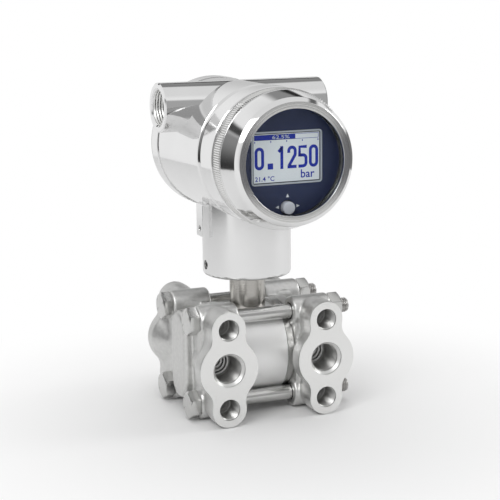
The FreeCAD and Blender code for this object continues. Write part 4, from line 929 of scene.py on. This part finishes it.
def hole_tools(shape):
    """What the drills and the taps take away."""
    for y, axis, tap in ((-0.5, BACK, 5.56), (FACE_Y + 0.5, FRONT, 5.0)):
        for z in (-TAP_Z, TAP_Z):
            add_rod(shape, PORT_X, y, z, axis, [(0, 0), (0, tap), (13.5, tap), (16.2, 0)], 72)
        add_rod(shape, PORT_X, y, 0.0, axis, PORT_TOOL, 96)
    for place in BOLT_PLACES:
        add_rod(shape, 14.0, place.y / MM, place.z / MM, RIGHT, BOLT_TOOL, 64)


print("the port's tool is", PORT_TOOL[-1][0], "mm long")

# %% [markdown]
# Now the blank is cast and machined. The modifiers do the work in their order: remesh, smooth, and
# one cut for each tool. The left flange is the mirror image of the right one, and its normals are
# worked out again when it becomes a piece, because a mirror turns a shape inside out.

# %% Cast the flange again, then machine it
def hidden_object(name, fill):
    """A helper object that a modifier works on or with."""
    return in_scene(name, plain_mesh(fill, cast_steel))


def machined_mesh(blank, tools, material):
    """What the tools leave of a blank, as a plain mesh. The helper objects are dropped."""
    for tool in tools:
        cut = blank.modifiers.new("cut", "BOOLEAN")
        cut.operation, cut.solver, cut.object = "DIFFERENCE", "MANIFOLD", tool
    left = plain_result(blank, material)
    for helper in [blank] + tools:
        bpy.data.objects.remove(helper)
    return left


blank = hidden_object("blank", fill_flange)
cutters = [hidden_object("face_cutter", face_tools), hidden_object("hole_cutter", hole_tools)]
skin = blank.modifiers.new("skin", "REMESH")
skin.mode, skin.voxel_size = "VOXEL", 0.6 * MM
soften_skin = blank.modifiers.new("soften", "SMOOTH")
soften_skin.factor, soften_skin.iterations = 0.5, 6
flange = machined_mesh(blank, cutters, cast_steel)
other_flange = flange.copy()
other_flange.transform(Matrix.Diagonal((-1.0, 1.0, 1.0, 1.0)))
piece_from("casting_right", [flange], "measuring_cell", ["process_flange_right"], 34.0)
piece_from("casting_left", [other_flange], "measuring_cell", ["process_flange_left"], 34.0)

# %% [markdown]
# The threads inside the tapped holes, the ports and the cable entries come from the thread tree with
# a negative depth. Their outer edge is sunk a little into the wall of the hole, so that no gap shows.
# Each row gives the crest's radius, the depth, the pitch, the length and the outer edge, in mm.

# %% Threads inside the holes
FRONT_TAP, BACK_TAP = (4.95, -0.58, 1.27, 12.6, 5.7), (4.25, -0.70, 1.5, 12.6, 5.15)
PORT_THREAD = (6.75, -0.50, 1.41, 14.6, 7.5)
ENTRY_Y, ENTRY_Z, ENTRY_END = 52.45, 128.2, 28.2
tapped_steel = turned_finish("tapped_thread_steel", 1, (0.56, 0.56, 0.55), 0.36, 0.10, 0.004)
entry_steel = turned_finish("entry_thread_steel", 0, (0.74, 0.74, 0.73), 0.38, 0.10, 0.004)
tap_threads, port_threads, entries = [], [], []
for x in (-PORT_X, PORT_X):
    for z in (-TAP_Z, TAP_Z):
        for y, axis, thread in ((0.25, BACK, FRONT_TAP), (FACE_Y - 0.25, FRONT, BACK_TAP)):
            tap_threads.append(thread_mesh(tapped_steel, Vector((x, y, z)) * MM, axis, *thread))
    port_threads.append(thread_mesh(tapped_steel, Vector((x, 2.1, 0.0)) * MM, BACK, *PORT_THREAD, 72))
for axis, mouth_x in ((RIGHT, -42.9), (-RIGHT, 46.6)):
    mouth = Vector((mouth_x, ENTRY_Y, ENTRY_Z)) * MM
    length = abs(mouth_x) - ENTRY_END
    entries.append(thread_mesh(entry_steel, mouth, axis, 8.75, -0.50, 1.5, length, 9.6, 72))
piece_from("tap_threads", tap_threads, "measuring_cell", smooth_angle=40.0)
piece_from("port_threads", port_threads, "measuring_cell", smooth_angle=40.0)
piece_from("entry_threads", entries, "head", smooth_angle=40.0)

# %% [markdown]
# The neck is a plain polished cylinder, and a polished face shows every flat of a coarse mesh. A
# thin skin lies on it, finely divided and rounded at its lower edge. The housing above and the hole
# of the grub screw are cut out of it, so that it ends where the real surface does.

# %% Skin of the neck
NECK_RADIUS, NECK_ROUND, NECK_BOTTOM, NECK_TOP, SKIN = 23.32, 2.0, 40.38, 84.0, 0.6
DRUM_RADIUS, DRUM_HALF = 33.0, 60.0
SCREW_RADIUS, SCREW_Z = 2.45, 46.4


def fill_neck(shape):
    """The outer wall of the neck from its rounded lower edge up into the housing."""
    inner = NECK_RADIUS - SKIN
    outline = [(NECK_BOTTOM, NECK_RADIUS - NECK_ROUND - SKIN)]
    for n in range(15):
        turn = math.pi / 28 * n
        height = NECK_BOTTOM + NECK_ROUND * (1 - math.cos(turn))
        outline.append((height, NECK_RADIUS - NECK_ROUND * (1 - math.sin(turn))))
    outline += [(NECK_TOP, NECK_RADIUS), (NECK_TOP, inner), (NECK_BOTTOM + NECK_ROUND, inner)]
    sweep_round(shape, outline, Vector((0.0, NECK_AXIS_Y, 0.0)), UP, 256)


def neck_tools(shape):
    """The drum above, and the hole of the grub screw on the left."""
    drum = [(-DRUM_HALF, 0.0), (-DRUM_HALF, DRUM_RADIUS), (DRUM_HALF, DRUM_RADIUS), (DRUM_HALF, 0.0)]
    sweep_round(shape, drum, HEAD_AXIS, FRONT, 128)
    screw = [(20.0, 0.0), (20.0, SCREW_RADIUS), (26.0, SCREW_RADIUS), (26.0, 0.0)]
    sweep_round(shape, screw, Vector((0.0, NECK_AXIS_Y, SCREW_Z * MM)), -RIGHT, 48)


sleeve, neck_cutter = hidden_object("sleeve", fill_neck), hidden_object("neck_cutter", neck_tools)
neck_skin = machined_mesh(sleeve, [neck_cutter], neck_steel)
piece_from("neck_skin", [neck_skin], "head")

# %% [markdown]
# The display shows a reading in bold strokes of even width. Each figure is a path of a few points on
# a grid of one by one. The tree rounds its corners and sweeps a flat bar along it, so the same tree
# draws the figures, the bar graph, its ticks and the dark line round the window.

# %% One tree for every stroke
DISPLAY_LEFT, DISPLAY_TOP, DISPLAY_OUT, PANEL_OUT = -18.05, 119.45, 51.55, 51.85
DISPLAY_CORNER = Vector((DISPLAY_LEFT, NECK_Y - DISPLAY_OUT - 0.03, DISPLAY_TOP)) * MM
stroke_sizes = {"Path": "Object", "Width": "Float", "Thickness": "Float", "Corner": "Float"}
stroke_tree = Grower("stroke", stroke_sizes)
node, size = stroke_tree.node, stroke_tree.size
drawn = node("GeometryNodeObjectInfo", {"transform_space": "ORIGINAL"}, {"Object": size("Path")}, "Geometry")
line = node("GeometryNodeMeshToCurve", None, {"Mesh": drawn})
corners = {"Curve": line, "Count": 7, "Radius": size("Corner"), "Limit Radius": True}
rounded = node("GeometryNodeFilletCurve", {"mode": "POLY"}, corners)
upright = node("GeometryNodeSetCurveNormal", {"mode": "Z_UP"}, {"Curve": rounded})
flat_bar = {"Width": size("Width"), "Height": size("Thickness")}
section = node("GeometryNodeCurvePrimitiveQuadrilateral", None, flat_bar)
swept = {"Curve": upright, "Profile Curve": section, "Fill Caps": True}
stroke_tree.finish_with(node("GeometryNodeCurveToMesh", None, swept))


def stroke_mesh(material, points, width, corner=0.0, closed=False, thickness=0.05):
    """A stroke on the display, through points in mm right of and above its upper left corner."""
    wire = bpy.data.meshes.new("wire")
    edges = [(n, n + 1) for n in range(len(points) - 1)] + ([(len(points) - 1, 0)] if closed else [])
    wire.from_pydata([(x * MM, z * MM, 0.0) for x, z in points], edges, [])
    path = in_scene("path", wire)
    sizes = {"Path": path, "Width": width * MM, "Thickness": thickness * MM, "Corner": corner * MM}
    grown = stroke_tree.grow(material, sizes)
    bpy.data.objects.remove(path)
    return placed(grown, DISPLAY_CORNER, FRONT)


def extent(mesh):
    """The lowest and highest place of a mesh along each axis."""
    places = [[vertex.co[n] for vertex in mesh.vertices] for n in range(3)]
    return [min(part) for part in places], [max(part) for part in places]


low, high = extent(stroke_mesh(lcd_glass, [(0.0, 0.0), (10.0, 0.0)], 1.0))
print("a stroke of 10 x 1 mm measures", [round((b - a) / MM, 2) for a, b in zip(low, high)])

# %% [markdown]
# The reading is a plain example: 0.1250 bar, a bar graph at 62.5 % and a temperature. The figures
# are wide strokes, and the small words use the font that comes with the program, turned into a
# mesh and fitted to the height of the letters. Each stroke of a figure is its points, the radius of
# its corners in mm and whether it closes.

# %% Figures and words
STROKE, FIGURE_BASE, FIGURE_WIDTH, FIGURE_HEIGHT = 1.55, -17.7, 5.0, 11.0
FIGURES = {
    "0": [([(0, 0), (1, 0), (1, 1), (0, 1)], 1.8, True)],
    "1": [([(0.60, 1.09), (0.60, -0.09)], 0.0, False), ([(0.10, 0.80), (0.62, 1.0)], 0.0, False)],
    "2": [
        ([(0, 0.72), (0, 1), (1, 1), (1, 0.62), (0.04, 0.06)], 1.6, False),
        ([(-0.2, 0), (1.2, 0)], 0.0, False),
    ],
    "5": [
        ([(1.12, 1), (0, 1), (0, 0.5)], 0.0, False),
        ([(0, 0.57), (1, 0.57), (1, 0), (-0.18, 0)], 1.6, False),
    ],
}
ink = moulded_finish("display_blue_ink", (0.001, 0.022, 0.42), 0.60, 0.2, 0.001, 0.06)
pale_ink = moulded_finish("display_pale_ink", (0.62, 0.68, 0.74), 0.45, 0.2, 0.001, 0.04)
line_ink = moulded_finish("window_dark_line", (0.03, 0.035, 0.05), 0.45, 0.2, 0.001, 0.06)


def figure_meshes(figure, left):
    """The strokes of one figure in a slot of the display."""
    across, up = FIGURE_WIDTH - STROKE, FIGURE_HEIGHT - STROKE
    start, base = left + STROKE / 2, FIGURE_BASE + STROKE / 2
    meshes = []
    for points, corner, closed in FIGURES[figure]:
        spots = [(start + x * across, base + z * up) for x, z in points]
        meshes.append(stroke_mesh(ink, spots, STROKE, corner, closed))
    return meshes


def word_mesh(words, material, left, bottom, width, height, lift=0.0):
    """Letters of the built-in font, fitted to a box on the display."""
    data = bpy.data.curves.new("words", "FONT")
    data.body, data.extrude, data.offset, data.resolution_u = words, 0.02, 0.012, 3
    host = in_scene("words", data)
    mesh = plain_result(host, material)
    bpy.data.objects.remove(host)
    low, high = extent(mesh)
    scales = [size * MM / (b - a) for size, a, b in zip((width, height, 0.04), low, high)]
    start = Matrix.Translation((left * MM, bottom * MM, lift * MM))
    mesh.transform(start @ Matrix.Diagonal((*scales, 1.0)) @ Matrix.Translation((-low[0], -low[1], 0.0)))
    return placed(mesh, DISPLAY_CORNER, FRONT)


print("figures", list(FIGURES))

# %% [markdown]
# All of it is laid out in millimetres from the upper left corner of the display: the figures, the
# point, the bar and its frame, five ticks and the two words. The share in the bar and the line
# round the window have inks of their own.

# %% Reading on the display
reading = []
for figure, left in (("0", 1.05), ("1", 12.6), ("2", 18.4), ("5", 24.2), ("0", 30.0)):
    reading += figure_meshes(figure, left)
reading.append(stroke_mesh(ink, [(7.9, -16.2), (10.8, -16.2)], 2.9))
reading.append(stroke_mesh(ink, [(0.95, -2.1), (22.7, -2.1)], 2.6))
bar_frame = [(1.0, -0.9), (35.1, -0.9), (35.1, -3.3), (1.0, -3.3)]
reading.append(stroke_mesh(ink, bar_frame, 0.28, closed=True))
for tick in range(5):
    spot = 1.2 + 8.43 * tick
    reading.append(stroke_mesh(ink, [(spot - 0.25, -4.25), (spot + 0.25, -4.25)], 0.7))
reading.append(word_mesh("bar", ink, 25.6, -22.7, 7.4, 4.1))
reading.append(word_mesh("21.4 °C", ink, 1.2, -23.3, 10.2, 2.4))
piece_from("display_reading", reading, "head")
percent = word_mesh("62.5%", pale_ink, 10.4, -3.0, 9.2, 1.8, lift=0.05)
piece_from("display_percent", [percent], "head")
window_frame = [(0.2, -0.2), (35.9, -0.2), (35.9, -24.3), (0.2, -24.3)]
border = stroke_mesh(line_ink, window_frame, 0.5, 0.5, closed=True, thickness=0.3)
piece_from("window_line", [border], "head")

# %% [markdown]
# Three small printed arrows round the button say which way it tilts.

# %% Arrows on the panel
ARROW, ARROW_HEIGHT = [(0.0, 1.05), (-0.8, -0.75), (0.8, -0.75)], 0.04
arrow_ink = moulded_finish("panel_white_ink", (0.80, 0.82, 0.84), 0.5, 0.2, 0.001, 0.04)


def fill_arrow(shape):
    """A flat triangle that points up."""
    low, high = [
        [shape.verts.new((x * MM, z * MM, height * MM)) for x, z in ARROW] for height in (0.0, ARROW_HEIGHT)
    ]
    shape.faces.new(low)
    shape.faces.new(high)
    for n in range(3):
        m = (n + 1) % 3
        shape.faces.new((low[n], low[m], high[m], high[n]))


arrows = []
for x, z, turn in ((0.2, 88.4, 0.0), (-5.2, 83.0, 90.0), (5.7, 83.1, -90.0)):
    spot = Vector((x, NECK_Y - PANEL_OUT - 0.01, z)) * MM
    arrows.append(placed(plain_mesh(fill_arrow, arrow_ink), spot, FRONT, math.radians(turn)))
piece_from("button_arrows", arrows, "head")
